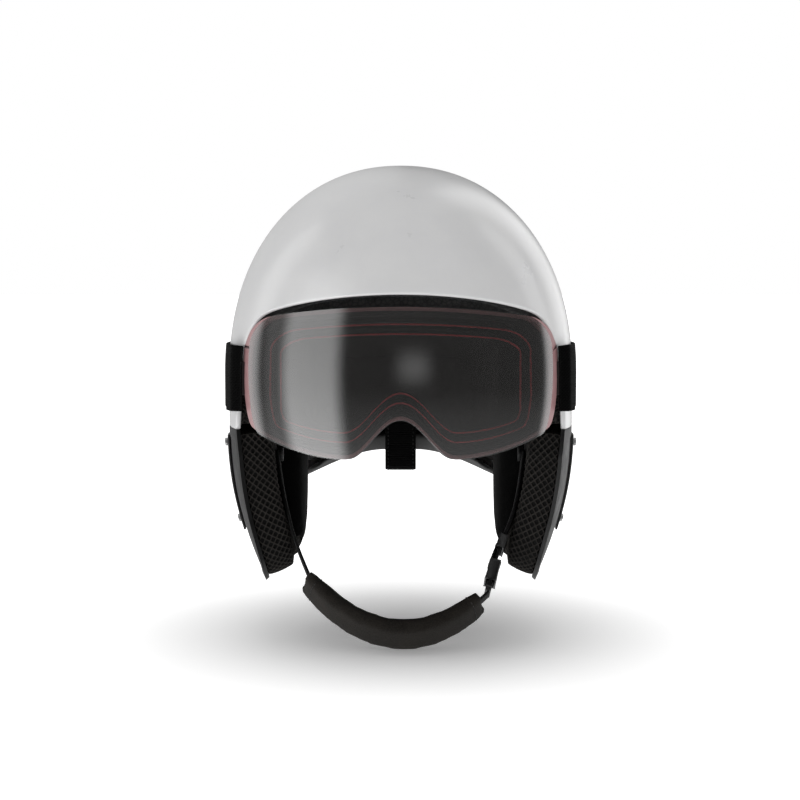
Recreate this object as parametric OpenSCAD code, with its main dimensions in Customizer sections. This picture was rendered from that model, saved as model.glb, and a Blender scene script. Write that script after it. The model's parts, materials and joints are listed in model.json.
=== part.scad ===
// Ski helmet with goggles: hard shell over a foam liner, two padded ears, a chin strap with a buckle,
// and goggles held by an elastic strap around the shell.
// Frame: origin on the line through both ear canals, midway between them. +X is the wearer's left,
// -Y the way the wearer faces, +Z up. All sizes in millimetres.

/* [Shell] */
// Width outside, at the temples
shell_w = 216; // [214:1:218]
// Reach forward of the ear line
shell_front = 124; // [123:0.5:125]
// Reach behind the ear line
shell_back = 140; // [138:1:142]
// Height of the crown above the ear line
crown_z = 160; // [158:1:162]
// Level where the dome begins
dome_z = 30; // [28:0.5:32]
// Height of the brim at the forehead
brim_z = 82; // [81.5:0.5:82.5]
// Thickness of the hard shell
shell_t = 2.6; // [2:0.1:3]
// Thickness of the foam liner
liner_t = 20; // [18:0.5:20]

/* [Ears] */
// Lowest level of the ear pieces
ear_bottom = -98; // [-99:0.5:-97]
// Front edge of the ear pieces
ear_front = -54; // [-54:0.5:-52]
// Back edge of the ear pieces, at their top
ear_back = 78; // [74:1:80]
// Thickness of the mesh-covered ear foam
ear_foam_t = 21; // [19:0.5:21]
// Distance of the inner cushions' flat faces from the middle
cushion_x = 62.5; // [60:0.5:65]

/* [Goggles] */
// Width of the lens
lens_w = 181; // [178:1:182]
// Radius of the lens, seen from above
lens_r = 110; // [109:0.5:111]
// Upper edge of the lens at its middle
lens_top = 73.5; // [72:0.5:73.5]
// Lowest points of the lens, beside the nose
lens_low = -14; // [-15:0.5:-13]
// Top of the nose arch
nose_z = 9; // [7:0.5:10]
// Width of the elastic goggle strap
elastic_w = 38; // [36:1:40]
// Level of the middle of the goggle strap
elastic_z = 30; // [29:0.5:31]

/* [Chin strap] */
// Forward lean of the hanging strap, in degrees
lean = 23; // [22:0.5:24]
// Width of the webbing
web_w = 18; // [16:1:18]
// Width of the chin pad
pad_w = 30; // [26:1:32]
// Thickness of the chin pad
pad_t = 9; // [7:0.5:10]

/* [Hidden] */
$fn = 48;

dome_h = crown_z - dome_z;
dome_n = 2.14;          // the dome's profile is a superellipse; 2 would be an ellipse
gap = 0.4;              // air between neighbouring layers
seat_gap = 0.9;         // wider air where two layers are drawn with different facets
side_tuck = 22.4;       // how far the sides come in at the ears' lowest level
back_tuck = 22;         // how far the back comes in at the rim
rim_z = -31;            // lowest level of the rim at the middle of the back
liner_out = shell_t + seat_gap;
liner_in = liner_out + liner_t;
pad_gap = liner_in + 1.6;

// ---- The outer surface of the helmet ----

function unit(v) = v / norm(v);
function ramp(t) = min(1, max(0, t));
function ease(t) = let (c = ramp(t)) c * c * (3 - 2 * c);
function mix(a, b, t) = a + (b - a) * t;

// Angle from straight ahead, 0 to 180, for a bearing measured from +X towards +Y
function from_front(az) = let (t = (az + 450) % 360) min(t, 360 - t);

// drop is the angle down from the crown; past 90 the sides run down at the dome's own rate
function level(drop) =
    dome_z + dome_h * (drop < 90 ? pow(cos(drop), 2 / dome_n) : (90 - drop) * PI / 180);
function drop_at(z) =
    z > dome_z ? acos(pow((z - dome_z) / dome_h, dome_n / 2)) : 90 + (dome_z - z) / dome_h * 180 / PI;
function share(drop) = drop < 90 ? pow(sin(drop), 2 / dome_n) : 1;
function side_in(z) = z < 0 ? side_tuck * pow(z / ear_bottom, 2.15) : 0;
function back_in(z) = z < dome_z ? back_tuck * pow((dome_z - z) / (dome_z - rim_z), 1.6) : 0;
function bare(az, drop) =
    let (z = level(drop), s = share(drop), k = 1 + 0.015 * pow(sin(2 * az), 2),
         a = shell_w / 2 * s - side_in(z),
         b = sin(az) < 0 ? shell_front * s : shell_back * s - back_in(z))
    [a * cos(az) * k, b * sin(az) * k, z];
function outward(az, drop) =
    unit(cross(bare(az + 1, drop) - bare(az - 1, drop), bare(az, drop - 1) - bare(az, drop + 1)));
function skin(az, drop, off = 0) = bare(az, drop) + off * outward(az, drop);
function wall(az, z, off = 0) = skin(az, drop_at(z), off);

// Bearing of the point of the left side that lies y behind the ear line, at level z
function bearing(y, z) =
    let (b = y < 0 ? shell_front : shell_back - back_in(z), first = asin(y / b))
    asin(y / b / (1 + 0.015 * pow(sin(2 * first), 2)));

// ---- Edges of the shell, by angle w from straight ahead ----

function brim(w) = brim_z - 17 * pow(w / 60, 2);
function hem(w) = -1 - 43 * ease((w - 126) / 11) + 17.5 * ease((w - 130) / 44);
function edge(w) = w < 67 ? mix(brim(w), hem(67), pow(ramp((w - 40) / 27), 5)) : hem(w);
function liner_edge(w) = edge(max(0, w - 4)) + 5;

// ---- Solids from grids of points ----

function six_volumes(p, f) = [for (t = f) cross(p[t[0]], p[t[1]]) * p[t[2]]] * [for (t = f) 1];
module closed_mesh(p, f) {
    polyhedron(p, six_volumes(p, f) > 0 ? [for (t = f) [t[0], t[2], t[1]]] : f, convexity = 8);
}

// The solid between two matching grids. wrap joins the last column to the first; poles close the first row.
module sheet(outer, inner, wrap = false, poles = []) {
    rows = len(outer);
    cols = len(outer[0]);
    n = rows * cols;
    last = wrap ? cols - 1 : cols - 2;
    function at(r, c) = r * cols + c % cols;
    skins = [for (r = [0 : rows - 2], c = [0 : last])
        let (a = at(r, c), b = at(r, c + 1), d = at(r + 1, c), e = at(r + 1, c + 1))
        each [[a, b, e], [a, e, d], [n + a, n + e, n + b], [n + a, n + d, n + e]]];
    foot = [for (c = [0 : last]) let (a = at(rows - 1, c), b = at(rows - 1, c + 1))
        each [[a, b, n + b], [a, n + b, n + a]]];
    head = [for (c = [0 : last]) let (a = at(0, c), b = at(0, c + 1))
        each len(poles) == 2 ? [[2 * n, b, a], [2 * n + 1, n + a, n + b]]
                             : [[n + a, n + b, b], [n + a, b, a]]];
    ends = wrap ? [] : [for (r = [0 : rows - 2])
        let (a = at(r, 0), d = at(r + 1, 0), e = at(r, cols - 1), g = at(r + 1, cols - 1))
        each [[n + a, a, d], [n + a, d, n + d], [e, n + e, n + g], [e, n + g, g]]];
    closed_mesh(concat([for (row = outer) each row], [for (row = inner) each row], poles),
                concat(skins, foot, head, ends));
}

// A ring-shaped bar from matching closed loops of points, joined in order and last to first
module hoop(loops) {
    rows = len(loops);
    cols = len(loops[0]);
    closed_mesh([for (l = loops) each l],
        [for (r = [0 : rows - 1], c = [0 : cols - 1])
            let (a = r * cols + c, b = r * cols + (c + 1) % cols,
                 d = (r + 1) % rows * cols + c, e = (r + 1) % rows * cols + (c + 1) % cols)
            each [[a, b, e], [a, e, d]]]);
}

// A patch of a layer around the helmet, between bearings az0 and az1 and levels z0 (upper) and z1
module patch(az0, az1, z0, z1, off0, off1, cols, rows) {
    function grid(off) = [for (r = [0 : rows]) [for (c = [0 : cols])
        wall(mix(az0, az1, c / cols), mix(z0, z1, r / rows), off)]];
    sheet(grid(off0), grid(off1));
}

// ---- Shell, rim and liner ----

// Bearings around the helmet, close together where the edge falls steeply at the temples
half_turn = concat([0, 8, 16, 24, 32, 39, 45, 50], [for (w = [54 : 2 : 68]) w],
                   [73, 80, 90, 100, 110, 119], [for (w = [126 : 3 : 141]) w], [148, 156, 164, 172, 180]);
whole_turn = concat([for (w = half_turn) w - 90],
                    [for (i = [len(half_turn) - 2 : -1 : 1]) 270 - half_turn[i]]);

// Layer from the crown down to the level that low(w) gives
module cap(off0, off1, rows, low) {
    first = 6;              // the first row's angle down from the crown
    function grid(off) = [for (r = [0 : rows - 1]) [for (az = whole_turn)
        skin(az, mix(first, drop_at(low(from_front(az))), pow(r / (rows - 1), 0.9)), off)]];
    sheet(grid(off0), grid(off1), wrap = true,
          poles = [[0, 0, crown_z + off0], [0, 0, crown_z + off1]]);
}

module outer_shell() {
    color("white") cap(0, -shell_t, 15, function (w) edge(w));
}

module impact_liner() {
    color([0.12, 0.12, 0.13]) cap(-liner_out, -liner_in, 10, function (w) liner_edge(w));
}

// Binding that closes the lower edge of shell and liner around the back of the neck
module rim_trim() {
    depth = 4;
    proud = 0.2;            // stands this far out of the shell
    cols = 22;
    function row(off, drop) = [for (c = [0 : cols])
        let (az = mix(48, 132, c / cols)) wall(az, hem(from_front(az)) - seat_gap - drop, off)];
    color([0.05, 0.05, 0.05])
        sheet([row(proud, 0), row(proud, depth)], [row(-liner_in, 0), row(-liner_in, depth)]);
}

comfort_t = 7;
side_pad_t = 6;
module brow_pad() {
    color([0.1, 0.1, 0.1]) patch(-142, -38, 112, 88, -pad_gap, -pad_gap - comfort_t, 18, 3);
}

module crown_pad() {
    drops = [10, 20, 30, 38];
    top = crown_z - pad_gap;
    function grid(off) = [for (d = drops) [for (az = [0 : 15 : 345]) skin(az, d, off)]];
    color([0.1, 0.1, 0.1])
        sheet(grid(-pad_gap), grid(-pad_gap - comfort_t), wrap = true,
              poles = [[0, 0, top], [0, 0, top - comfort_t]]);
}

module side_pads() {
    color([0.1, 0.1, 0.1]) for (az = [-8, 160])
        patch(az, az + 28, 84, 22, -pad_gap, -pad_gap - side_pad_t, 6, 5);
}

module nape_pad() {
    color([0.16, 0.16, 0.17]) patch(50, 130, 40, -18, -pad_gap, -pad_gap - comfort_t, 14, 5);
}

// ---- Ears: rows of [level, front edge, back edge], straight above and rounded below ----

round_z = -66;          // level where the rounded lower end begins
front_cut = 4;          // the front edge steps back by this at the shell's edge
back_slope = 12;        // the back edge comes forward by this down to round_z
front_round = 29;       // reach of the rounded end from the front and from the back
back_round = 46;
function ear_rows(inset, top) =
    let (f = ear_front + inset, b = ear_back - inset, low = ear_bottom + inset)
    concat(
        [for (i = [0 : 5]) let (z = mix(top, round_z, i / 5))
            [z, f + front_cut * ramp((z + 18) / 18), b - back_slope * (z / round_z)]],
        [for (t = [15 : 15 : 90]) let (in = 1 - cos(t))
            [mix(round_z, low, sin(t)), f + front_round * in, b - back_slope - back_round * in]]);

// A grid whose points come no closer to the middle than x
function not_within(x, grid) = [for (row = grid) [for (p = row) [max(x, p[0]), p[1], p[2]]]];

// Points of the rows at the depth off(z), starting front_shift behind the front edge
function ear_grid(rows, cols, front_shift, off) = [for (r = rows) [for (c = [0 : cols])
    let (y = mix(r[1] + front_shift, r[2], c / cols)) wall(bearing(y, r[0]), r[0], off(r[0]))]];

ear_top = -2.2;
foam_in = shell_t + gap + ear_foam_t;
foam_thin = 2;          // the foam is thinner by this at its lowest point
cushion_front = 48;     // the cushion starts this far behind the ear's front edge, clear of the strap

module ear_shell() {
    rows = ear_rows(0, ear_top);
    cols = 14;
    color([0.2, 0.2, 0.21])
        sheet(ear_grid(rows, cols, 0, function (z) 0), ear_grid(rows, cols, 0, function (z) -shell_t));
}

module ear_foam() {
    rows = ear_rows(0.8, ear_top - 1);
    cols = 10;
    color([0.14, 0.12, 0.11])
        sheet(ear_grid(rows, cols, 0, function (z) -shell_t - gap),
              not_within(cushion_x + 4.5,
                  ear_grid(rows, cols, 0, function (z) foam_thin * pow(ramp((z + 68) / -29), 2) - foam_in)));
}

module ear_cushion() {
    inset = 5;
    cols = 8;
    back = not_within(cushion_x + 3.5,
        ear_grid(ear_rows(inset, ear_top - 8), cols, cushion_front - inset, function (z) -foam_in - 1));
    face = [for (row = back) [for (p = row) [cushion_x, p[1], p[2]]]];
    color([0.05, 0.05, 0.05]) sheet(back, face);
}

// Ribbed cover over the ear's sound port
grille_out = gap + 2.4;
grille_top = -8;
grille_low = -68;
module ear_grille() {
    steps = 6;
    function grid(off) = [for (r = [0 : steps]) [for (c = [0 : steps])
        let (z = mix(grille_top, grille_low, r / steps), y = mix(-20 + r, 26 - 2 * r, c / steps))
        wall(bearing(y, z), z, off)]];
    color([0.13, 0.13, 0.14]) sheet(grid(grille_out), grid(gap));
}

// Hexagon socket screws that hold the grille, heads outside
module ear_screws() {
    head_r = 2.6;
    head_t = 1.2;
    for (z = [grille_top - 6, grille_low + 6]) {
        az = bearing(3, z);
        p = wall(az, z, grille_out + 0.2);
        n = outward(az, drop_at(z));
        color([0.5, 0.5, 0.52]) translate(p) rotate([0, acos(n[2]), atan2(n[1], n[0])])
            difference() {
                cylinder(r = head_r, h = head_t);
                translate([0, 0, 0.5]) cylinder(r = head_t, h = head_t, $fn = 6);
            }
    }
}

// ---- Chin strap, drawn flat in the plane it hangs in ----
// In that plane, x is the helmet's x, s is the distance down from the pivots, and n points forward and up.

hang_y = -20;
hang_z = -20;
web_t = 2;
web_off = foam_in + 6;            // depth of the webbing's middle below the ear's outside
pin_r = 2.6;
pin_fit = 0.08;                   // clearance of the pin in the webbing's eye
module hang() {
    translate([0, hang_y, hang_z]) rotate([90 - lean, 0, 0]) children();
}
function web_x(s) =
    let (z = hang_z - s * cos(lean), y = hang_y - s * sin(lean)) wall(bearing(y, z), z, -web_off)[0];
function drawn_x(s, draw) = web_x(s) - draw * ease((s - 34) / 26);

// Strip of even thickness along a list of points in the strap plane
module ribbon(path, thick, width) {
    n = len(path);
    function side_step(i) =
        let (d = unit(path[min(n - 1, i + 1)] - path[max(0, i - 1)])) [-d[1], d[0]] * thick / 2;
    linear_extrude(width, center = true)
        polygon(concat([for (i = [0 : n - 1]) path[i] + side_step(i)],
                       [for (i = [n - 1 : -1 : 0]) path[i] - side_step(i)]));
}

pivot_x = web_x(0);
left_draw = 1.5;                  // the buckle pulls the left webbing this far inwards
right_draw = 0.5;
pad_low = 113.5;                 // lowest point of the pad's middle line
pad_mid = 2;
pad_right = -57;
pad_left = 48;
pad_curve = 0.0095;
function pad_s(x) = pad_low - pad_curve * pow(x - pad_mid, 2);

// Disc about the pins' axis, from depth x inwards of the helmet's side
module pin_disc(x, r, h) {
    translate([x, 0, 0]) rotate([0, 90, 0]) cylinder(r = r, h = h);
}

// Webbing from the pivot down to s = low, with a round eye for the pin; draw pulls its lower end inwards
module webbing(low, draw) {
    face_x = pivot_x - web_t / 2;
    hang() difference() {
        union() {
            ribbon([for (s = [0 : low / 8 : low]) [drawn_x(s, draw), -s]], web_t, web_w);
            pin_disc(face_x, web_w / 2, web_t);
        }
        pin_disc(face_x - web_t, pin_r + pin_fit, 3 * web_t);
    }
}

module webbing_left() {
    color([0.04, 0.04, 0.04]) webbing(68.4, left_draw);
}

module webbing_right() {
    color([0.04, 0.04, 0.04]) mirror([1, 0, 0]) webbing(73, right_draw);
}

// Plates that carry the strap pins from the liner's lower edge, one on each side, each with its pin
module strap_hangers() {
    plate_x = pivot_x + web_t / 2 + 0.5;
    plate_t = 1.6;
    plate_w = 14;
    plate_low = -plate_w / 2;
    plate_high = 37;
    head_t = 1.2;
    head_r = 4.4;
    head_gap = 0.9;
    head_x = pivot_x - web_t / 2 - head_gap - head_t;
    boss_rise = 30;
    boss_z = hang_z + boss_rise;
    boss_x = wall(bearing(hang_y, boss_z), boss_z, -liner_in)[0] - 2;
    color([0.55, 0.55, 0.57]) for (side = [0, 1]) mirror([side, 0, 0]) translate([0, hang_y, hang_z]) {
        translate([plate_x, -plate_w / 2, plate_low]) cube([plate_t, plate_w, plate_high - plate_low]);
        pin_disc(head_x, pin_r, plate_x + 1 - head_x);
        pin_disc(head_x, head_r, head_t);
        translate([0, 0, boss_rise]) pin_disc(plate_x + 1, 4, boss_x - plate_x - 1);
    }
}

// Padded sleeve, hollow for the webbing
module chin_pad() {
    step = 7;
    room = 1.2;
    core = [for (x = [pad_right : step : pad_left]) [x, -pad_s(x)]];
    past_ends = [for (x = [pad_right - step : step : pad_left + step]) [x, -pad_s(x)]];
    color([0.16, 0.14, 0.13]) hang() difference() {
        ribbon(core, pad_t, pad_w);
        ribbon(past_ends, web_t + room, web_w + room);
    }
}

// Webbing through the pad, from the right end of the pad to the prong's bar
module pad_webbing() {
    from = pad_right - 2;
    step = (pad_left + 4.7 - from) / 14;
    color([0.04, 0.04, 0.04]) hang()
        ribbon([for (i = [0 : 14]) let (x = from + i * step) [x, -pad_s(x)]], web_t, web_w);
}

// Buckle: the socket hangs on the left webbing and the prong on the pad
buckle_x = drawn_x(67, left_draw) - 0.5;
buckle_top = 69.5;
buckle_tilt = 15;
socket_long = 13;
module buckle_place() {
    hang() translate([buckle_x, -buckle_top, 0]) rotate([0, 0, -buckle_tilt]) children();
}

// Block in the buckle's place, centred across; low is the distance of its lower end from the top
module buckle_block(thick, low, long, wide) {
    translate([-thick / 2, -low, -wide / 2]) cube([thick, long, wide]);
}

module buckle_socket() {
    color([0.1, 0.1, 0.1]) buckle_place() difference() {
        buckle_block(7, socket_long, socket_long, 24);
        buckle_block(5, socket_long + 1, socket_long - 2, 20);
    }
}

module buckle_prong() {
    color([0.1, 0.1, 0.1]) buckle_place() {
        buckle_block(1.8, socket_long + 2, 8, 16);
        buckle_block(3.6, socket_long + 6.5, 5, 22);
    }
}

// Ladder lock around the left webbing, open for the strap along its length
lock_s = 58;
lock_tilt = atan2(drawn_x(lock_s + 4, left_draw) - drawn_x(lock_s - 8, left_draw), 12);
module ladder_lock() {
    half = 2.4;
    long = 8;
    slot = 1.5;
    side_bar = 1.8;
    wide = web_w / 2 + 0.6;
    outside = wide + side_bar;
    color([0.09, 0.09, 0.09])
        hang() translate([drawn_x(lock_s, left_draw), -lock_s, 0]) rotate([0, 0, lock_tilt]) difference() {
            translate([-half, -long / 2, -outside]) cube([2 * half, long, 2 * outside]);
            translate([-slot, -long, -wide]) cube([2 * slot, 2 * long, 2 * wide]);
        }
}

// ---- Goggles: everything lies on cylinders about one upright line ----

lens_half = lens_w / 2;
lens_y = -9.5;                   // the upright line's place
lens_mid = (lens_top + lens_low) / 2;
lens_t = 1.3;
nose_half = 34;                  // half the width of the nose arch
function bulge(z) = pow(z - lens_mid, 2) / 400;
function on_lens(t, z, off) = let (r = lens_r - bulge(z) + off) [r * sin(t), lens_y - r * cos(t), z];

// Upper and lower outline at a place u from -90 to 90 across, moved in by dx and dz
function reach(u, dx) = asin((lens_half - dx) / lens_r) * sin(u);
function half_x(t) = abs(lens_r * sin(t));
function round_off(x, from, to, height) =
    let (t = ramp((x - from) / (to - from))) height * (1 - sqrt(max(0, 1 - t * t)));
function upper(x, dx, dz) =
    lens_top - dz - 7.5 * pow(x / 90, 2) - round_off(x, 74 - dx, lens_half - dx, 16 - (dx + dz) / 4);
function lower(x, dx, dz) =
    x < nose_half
        ? lens_low + dz + (nose_z - lens_low) * (0.5 + 0.5 * cos(180 * x / nose_half))
        : lens_low + dz + 7 * pow((x - nose_half) / 40, 2)
              + (40 - dx - dz) * pow(ramp((x + dx - 70) / (lens_half - 70)), 21);

across = [for (u = [-90 : 3 : 90]) if (u % 6 == 0 || abs(u) < 23) u];
function outline(dx, dz, off) = concat(
    [for (u = across) let (t = reach(u, dx)) on_lens(t, upper(half_x(t), dx, dz), off)],
    [for (i = [len(across) - 1 : -1 : 0]) let (t = reach(across[i], dx))
        on_lens(t, lower(half_x(t), dx, dz), off)]);

module lens_plate(dx, dz, off, thick, rows) {
    function grid(o) = [for (r = [0 : rows]) [for (u = across) let (t = reach(u, dx), x = half_x(t))
        on_lens(t, mix(upper(x, dx, dz), lower(x, dx, dz), r / rows), o)]];
    sheet(grid(off), grid(off - thick));
}

module goggle_lens() {
    color([0.25, 0.25, 0.26, 0.8]) lens_plate(0, 0, 0, lens_t, 7);
}

// Seal between the two panes
module lens_gasket() {
    color([0.55, 0.1, 0.12])
        hoop([outline(0.3, 0.3, -1.6), outline(0.3, 0.3, -3.2),
              outline(4.6, 4.6, -3.2), outline(4.6, 4.6, -1.6)]);
}

module inner_lens() {
    color([0.6, 0.6, 0.62, 0.5]) lens_plate(6.5, 6.5, -3.6, 0.9, 4);
}

frame_front = -3.8;              // depths behind the lens face
frame_back = -13;
module goggle_frame() {
    color([0.06, 0.06, 0.06])
        hoop([outline(-2.6, -0.3, frame_front), outline(0.5, 3.5, frame_back), outline(9, 9, frame_back),
              outline(9, 9, -9), outline(5.4, 5.4, -8), outline(5.4, 5.4, frame_front)]);
}

module face_foam() {
    front = frame_back - 0.5;
    back = frame_back - 14;
    color([0.1, 0.1, 0.1])
        hoop([outline(2, 4, front), outline(4, 5, back), outline(15, 15, back), outline(12, 12, front)]);
}

// Arm from the frame's side to the end of the elastic strap, with the bar that the strap loops around
module outrigger() {
    arm = [[86.9, -61], [95, -65], [100.6, -59.5], [103.2, -53], [100.9, -52.4], [99.4, -57], [96.5, -60.6]];
    arm_h = 20;
    bar_r = 1.4;
    color([0.05, 0.05, 0.05]) {
        translate([0, 0, elastic_z - 14]) linear_extrude(arm_h) polygon(arm);
        translate([102.2, -54, elastic_z - elastic_w / 2]) cylinder(r = bar_r, h = elastic_w);
    }
}

// ---- Elastic strap, its sliders and the keeper at the back ----

elastic_end = -23.2;             // bearing of the strap's front ends
elastic_out = 2.6;
elastic_in = 0.6;
module goggle_strap() {
    half = elastic_w / 2;
    color([0.03, 0.03, 0.03])
        patch(elastic_end, 180 - elastic_end, elastic_z + half, elastic_z - half,
              elastic_out, elastic_in, 44, 3);
}

// Three-bar slider on the outside of the strap
slider_az = 40;
module strap_slider() {
    span = 8;               // degrees around the shell
    bar = 0.6;              // half a bar's width, in degrees
    end_bar = 1.2;          // half an end bar's width
    end_z = elastic_w / 2 + 1.4;
    low = elastic_out + 0.4;
    color([0.08, 0.08, 0.08]) {
        for (step = [-1, 0, 1]) {
            mid = slider_az + step * (span / 2 - bar);
            patch(mid - bar, mid + bar, elastic_z + end_z + end_bar, elastic_z - end_z - end_bar,
                  low + 2, low + 0.2, 1, 4);
        }
        for (z = [elastic_z + end_z, elastic_z - end_z])
            patch(slider_az - span / 2, slider_az + span / 2, z + end_bar, z - end_bar, low + 2.2, low, 3, 1);
    }
}

keeper_w = 21;
keeper_t = 1.8;
keeper_low = -41.5;
flap_low = -36.5;
flap_off = 4.4;                  // the flap's middle lies this far outside the shell
snap_z = 57;
function back_y(z) = bare(90, drop_at(z))[1];

// Webbing strip of the keeper's width along points [y, z] at the middle of the back
module keeper_strip(path) {
    rotate([90, 0, 90]) ribbon(path, keeper_t, keeper_w);
}

// Inner leg, fixed inside the rim, and the fold that runs under it
module keeper_tab() {
    y_in = back_y(rim_z) - pad_gap - 11;
    y_out = back_y(flap_low) - 0.1;
    z_fold = keeper_low + keeper_t / 2;
    bend = 2.5;
    color([0.05, 0.05, 0.05])
        keeper_strip([[y_in, -6], [y_in, -20], [y_in, z_fold + bend],
                      [y_in + 0.3 * bend, z_fold + 0.3 * bend], [y_in + bend, z_fold], [y_out, z_fold]]);
}

module keeper_flap() {
    levels = [flap_low, -30, -22, -12, 0, 14, 28, 42, 52, 63];
    color([0.05, 0.05, 0.05]) difference() {
        keeper_strip([for (z = levels) [back_y(z) + flap_off, z]]);
        snap_disc(-flap_off, cap_sleeve_r + 0.3, 20);
    }
}

// Disc about the snap's axis, from out outside the flap's middle
cap_sleeve_r = 4;
module snap_disc(out, r, h) {
    translate([0, back_y(snap_z) + flap_off + out, snap_z]) rotate([-90, 0, 0]) cylinder(r = r, h = h);
}

module snap_stud() {
    color([0.6, 0.6, 0.62]) {
        snap_disc(-3.4, 4.8, 1.2);
        snap_disc(-3.4, 2.4, 4.6);
    }
}

module snap_cap() {
    color([0.2, 0.2, 0.2]) difference() {
        union() {
            snap_disc(2.2, 6.2, 1.6);
            snap_disc(-1, cap_sleeve_r, 3.6);
        }
        snap_disc(-2, 3.2, 4.6);
    }
}

module right() {
    mirror([1, 0, 0]) children();
}

outer_shell();
rim_trim();
impact_liner();
brow_pad();
crown_pad();
side_pads();
nape_pad();
ear_shell();  // ear_shell_left
right() ear_shell();  // ear_shell_right
ear_foam();  // ear_foam_left
right() ear_foam();  // ear_foam_right
ear_cushion();  // ear_cushion_left
right() ear_cushion();  // ear_cushion_right
ear_grille();  // ear_grille_left
right() ear_grille();  // ear_grille_right
ear_screws();  // ear_screws_left
right() ear_screws();  // ear_screws_right
strap_hangers();
webbing_left();
webbing_right();
chin_pad();
pad_webbing();
buckle_socket();
buckle_prong();
ladder_lock();
goggle_frame();
face_foam();
outrigger();  // outrigger_left
right() outrigger();  // outrigger_right
goggle_lens();
lens_gasket();
inner_lens();
goggle_strap();
strap_slider();  // strap_slider_left
right() strap_slider();  // strap_slider_right
keeper_tab();
keeper_flap();
snap_stud();
snap_cap();
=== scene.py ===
"""Looks of a ski helmet with goggles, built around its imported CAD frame.

Shapes are worked out in millimetres from the frame's boxes and turned into metres when a mesh is made.
The helmet's outer skin is one formula, so every layer (shell, liner, pads, ears, straps) is an offset of it.
"""
import json
import math

import bmesh
import bpy
import numpy as np
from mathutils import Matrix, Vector


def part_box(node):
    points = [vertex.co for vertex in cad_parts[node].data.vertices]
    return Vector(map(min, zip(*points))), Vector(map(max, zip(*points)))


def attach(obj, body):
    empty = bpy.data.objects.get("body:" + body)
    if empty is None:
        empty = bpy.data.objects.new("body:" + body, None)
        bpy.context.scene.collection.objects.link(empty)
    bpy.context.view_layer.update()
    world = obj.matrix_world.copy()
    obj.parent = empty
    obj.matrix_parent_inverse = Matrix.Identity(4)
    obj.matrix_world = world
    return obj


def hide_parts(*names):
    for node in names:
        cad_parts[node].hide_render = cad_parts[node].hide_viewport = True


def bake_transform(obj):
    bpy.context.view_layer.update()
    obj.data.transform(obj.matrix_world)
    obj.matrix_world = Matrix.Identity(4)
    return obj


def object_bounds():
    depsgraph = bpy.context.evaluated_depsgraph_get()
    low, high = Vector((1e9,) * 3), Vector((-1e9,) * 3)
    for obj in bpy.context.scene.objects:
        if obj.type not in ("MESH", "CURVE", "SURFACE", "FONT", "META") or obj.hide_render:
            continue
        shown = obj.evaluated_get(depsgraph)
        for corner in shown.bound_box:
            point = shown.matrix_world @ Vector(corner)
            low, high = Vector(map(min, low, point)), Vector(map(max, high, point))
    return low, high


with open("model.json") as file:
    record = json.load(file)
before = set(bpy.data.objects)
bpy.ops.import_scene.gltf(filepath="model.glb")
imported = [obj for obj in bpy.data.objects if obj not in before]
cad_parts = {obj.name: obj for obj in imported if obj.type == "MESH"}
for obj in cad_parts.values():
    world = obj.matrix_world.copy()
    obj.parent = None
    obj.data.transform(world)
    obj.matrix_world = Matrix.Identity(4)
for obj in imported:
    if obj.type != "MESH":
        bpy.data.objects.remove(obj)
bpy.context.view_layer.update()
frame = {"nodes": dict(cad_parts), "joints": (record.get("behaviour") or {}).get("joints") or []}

MM = 0.001


def box_mm(node):
    low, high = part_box(node)
    return np.array(low) / MM, np.array(high) / MM


# ---- Sizes in millimetres, from the frame where it has them ----

shell_high = box_mm("outer_shell")[1]
HALF_W = shell_high[0]
BACK = shell_high[1]
FRONT = BACK * 124 / 140
CROWN = shell_high[2]
DOME_Z = 30
DOME_H = CROWN - DOME_Z
DOME_N = 2.14
CORNER = 0.015
RIM_Z = -31
ear_low, ear_high = box_mm("ear_shell_left")
EAR_BOTTOM = ear_low[2]
EAR_TOP = ear_high[2]
EAR_FRONT = ear_low[1] - 0.3
EAR_BACK = ear_high[1]
SHELL_T = 2.6
FOAM_OUT = SHELL_T + 0.4
FOAM_IN = FOAM_OUT + 21
LINER_OUT = SHELL_T + 0.9
LINER_IN = LINER_OUT + 20
PAD_OUT = LINER_IN + 1.6
CUSHION_X = box_mm("ear_cushion_left")[0][0]
lens_low_corner, lens_high_corner = box_mm("goggle_lens")
LENS_HALF = lens_high_corner[0]
LENS_R = 110
NOSE_HALF = 34
LENS_TOP = lens_high_corner[2]
LENS_LOW = -14
NOSE_Z = 9
LENS_Y = lens_low_corner[1] + LENS_R
LENS_MID = (LENS_TOP + LENS_LOW) / 2
strap_low, strap_high = box_mm("goggle_strap")
ELASTIC_LOW, ELASTIC_HIGH = strap_low[2], strap_high[2]
ELASTIC_Z = (ELASTIC_LOW + ELASTIC_HIGH) / 2
JOINTS = {j["name"]: j for j in frame["joints"]}
HANG = np.array(JOINTS["chin_swing_left"]["pos_m"]) / MM
open_axis = JOINTS["chin_open"]["axis"]
LEAN = math.degrees(math.atan2(-open_axis[2], open_axis[1]))
WEB_W = 18
WEB_T = 2
WEB_OFF = FOAM_IN + 6
LEFT_DRAW = 1.5
RIGHT_DRAW = -0.7
PIN_TO_LOCK = 58
PAD_W = 30
PAD_T = 9
SIDE_TUCK = 22.4
BACK_TUCK = 22
BRIM_Z = 82
TEMPLE = 67
HEM_Z = -1
HEM_DROP = 43
NAPE_RISE = 17.5


# ---- The helmet's outer skin; angles in degrees, as in the frame ----

def ramp(t):
    return np.clip(t, 0, 1)


def ease(t):
    c = ramp(t)
    return c * c * (3 - 2 * c)


def mix(a, b, t):
    return a + (b - a) * t


def unit(v):
    return v / np.maximum(np.linalg.norm(v, axis=-1, keepdims=True), 1e-9)


def from_front(az):
    """Angle from straight ahead, 0 to 180, of a bearing measured from +X towards +Y."""
    t = np.mod(np.asarray(az, float) + 450, 360)
    return np.minimum(t, 360 - t)


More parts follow.
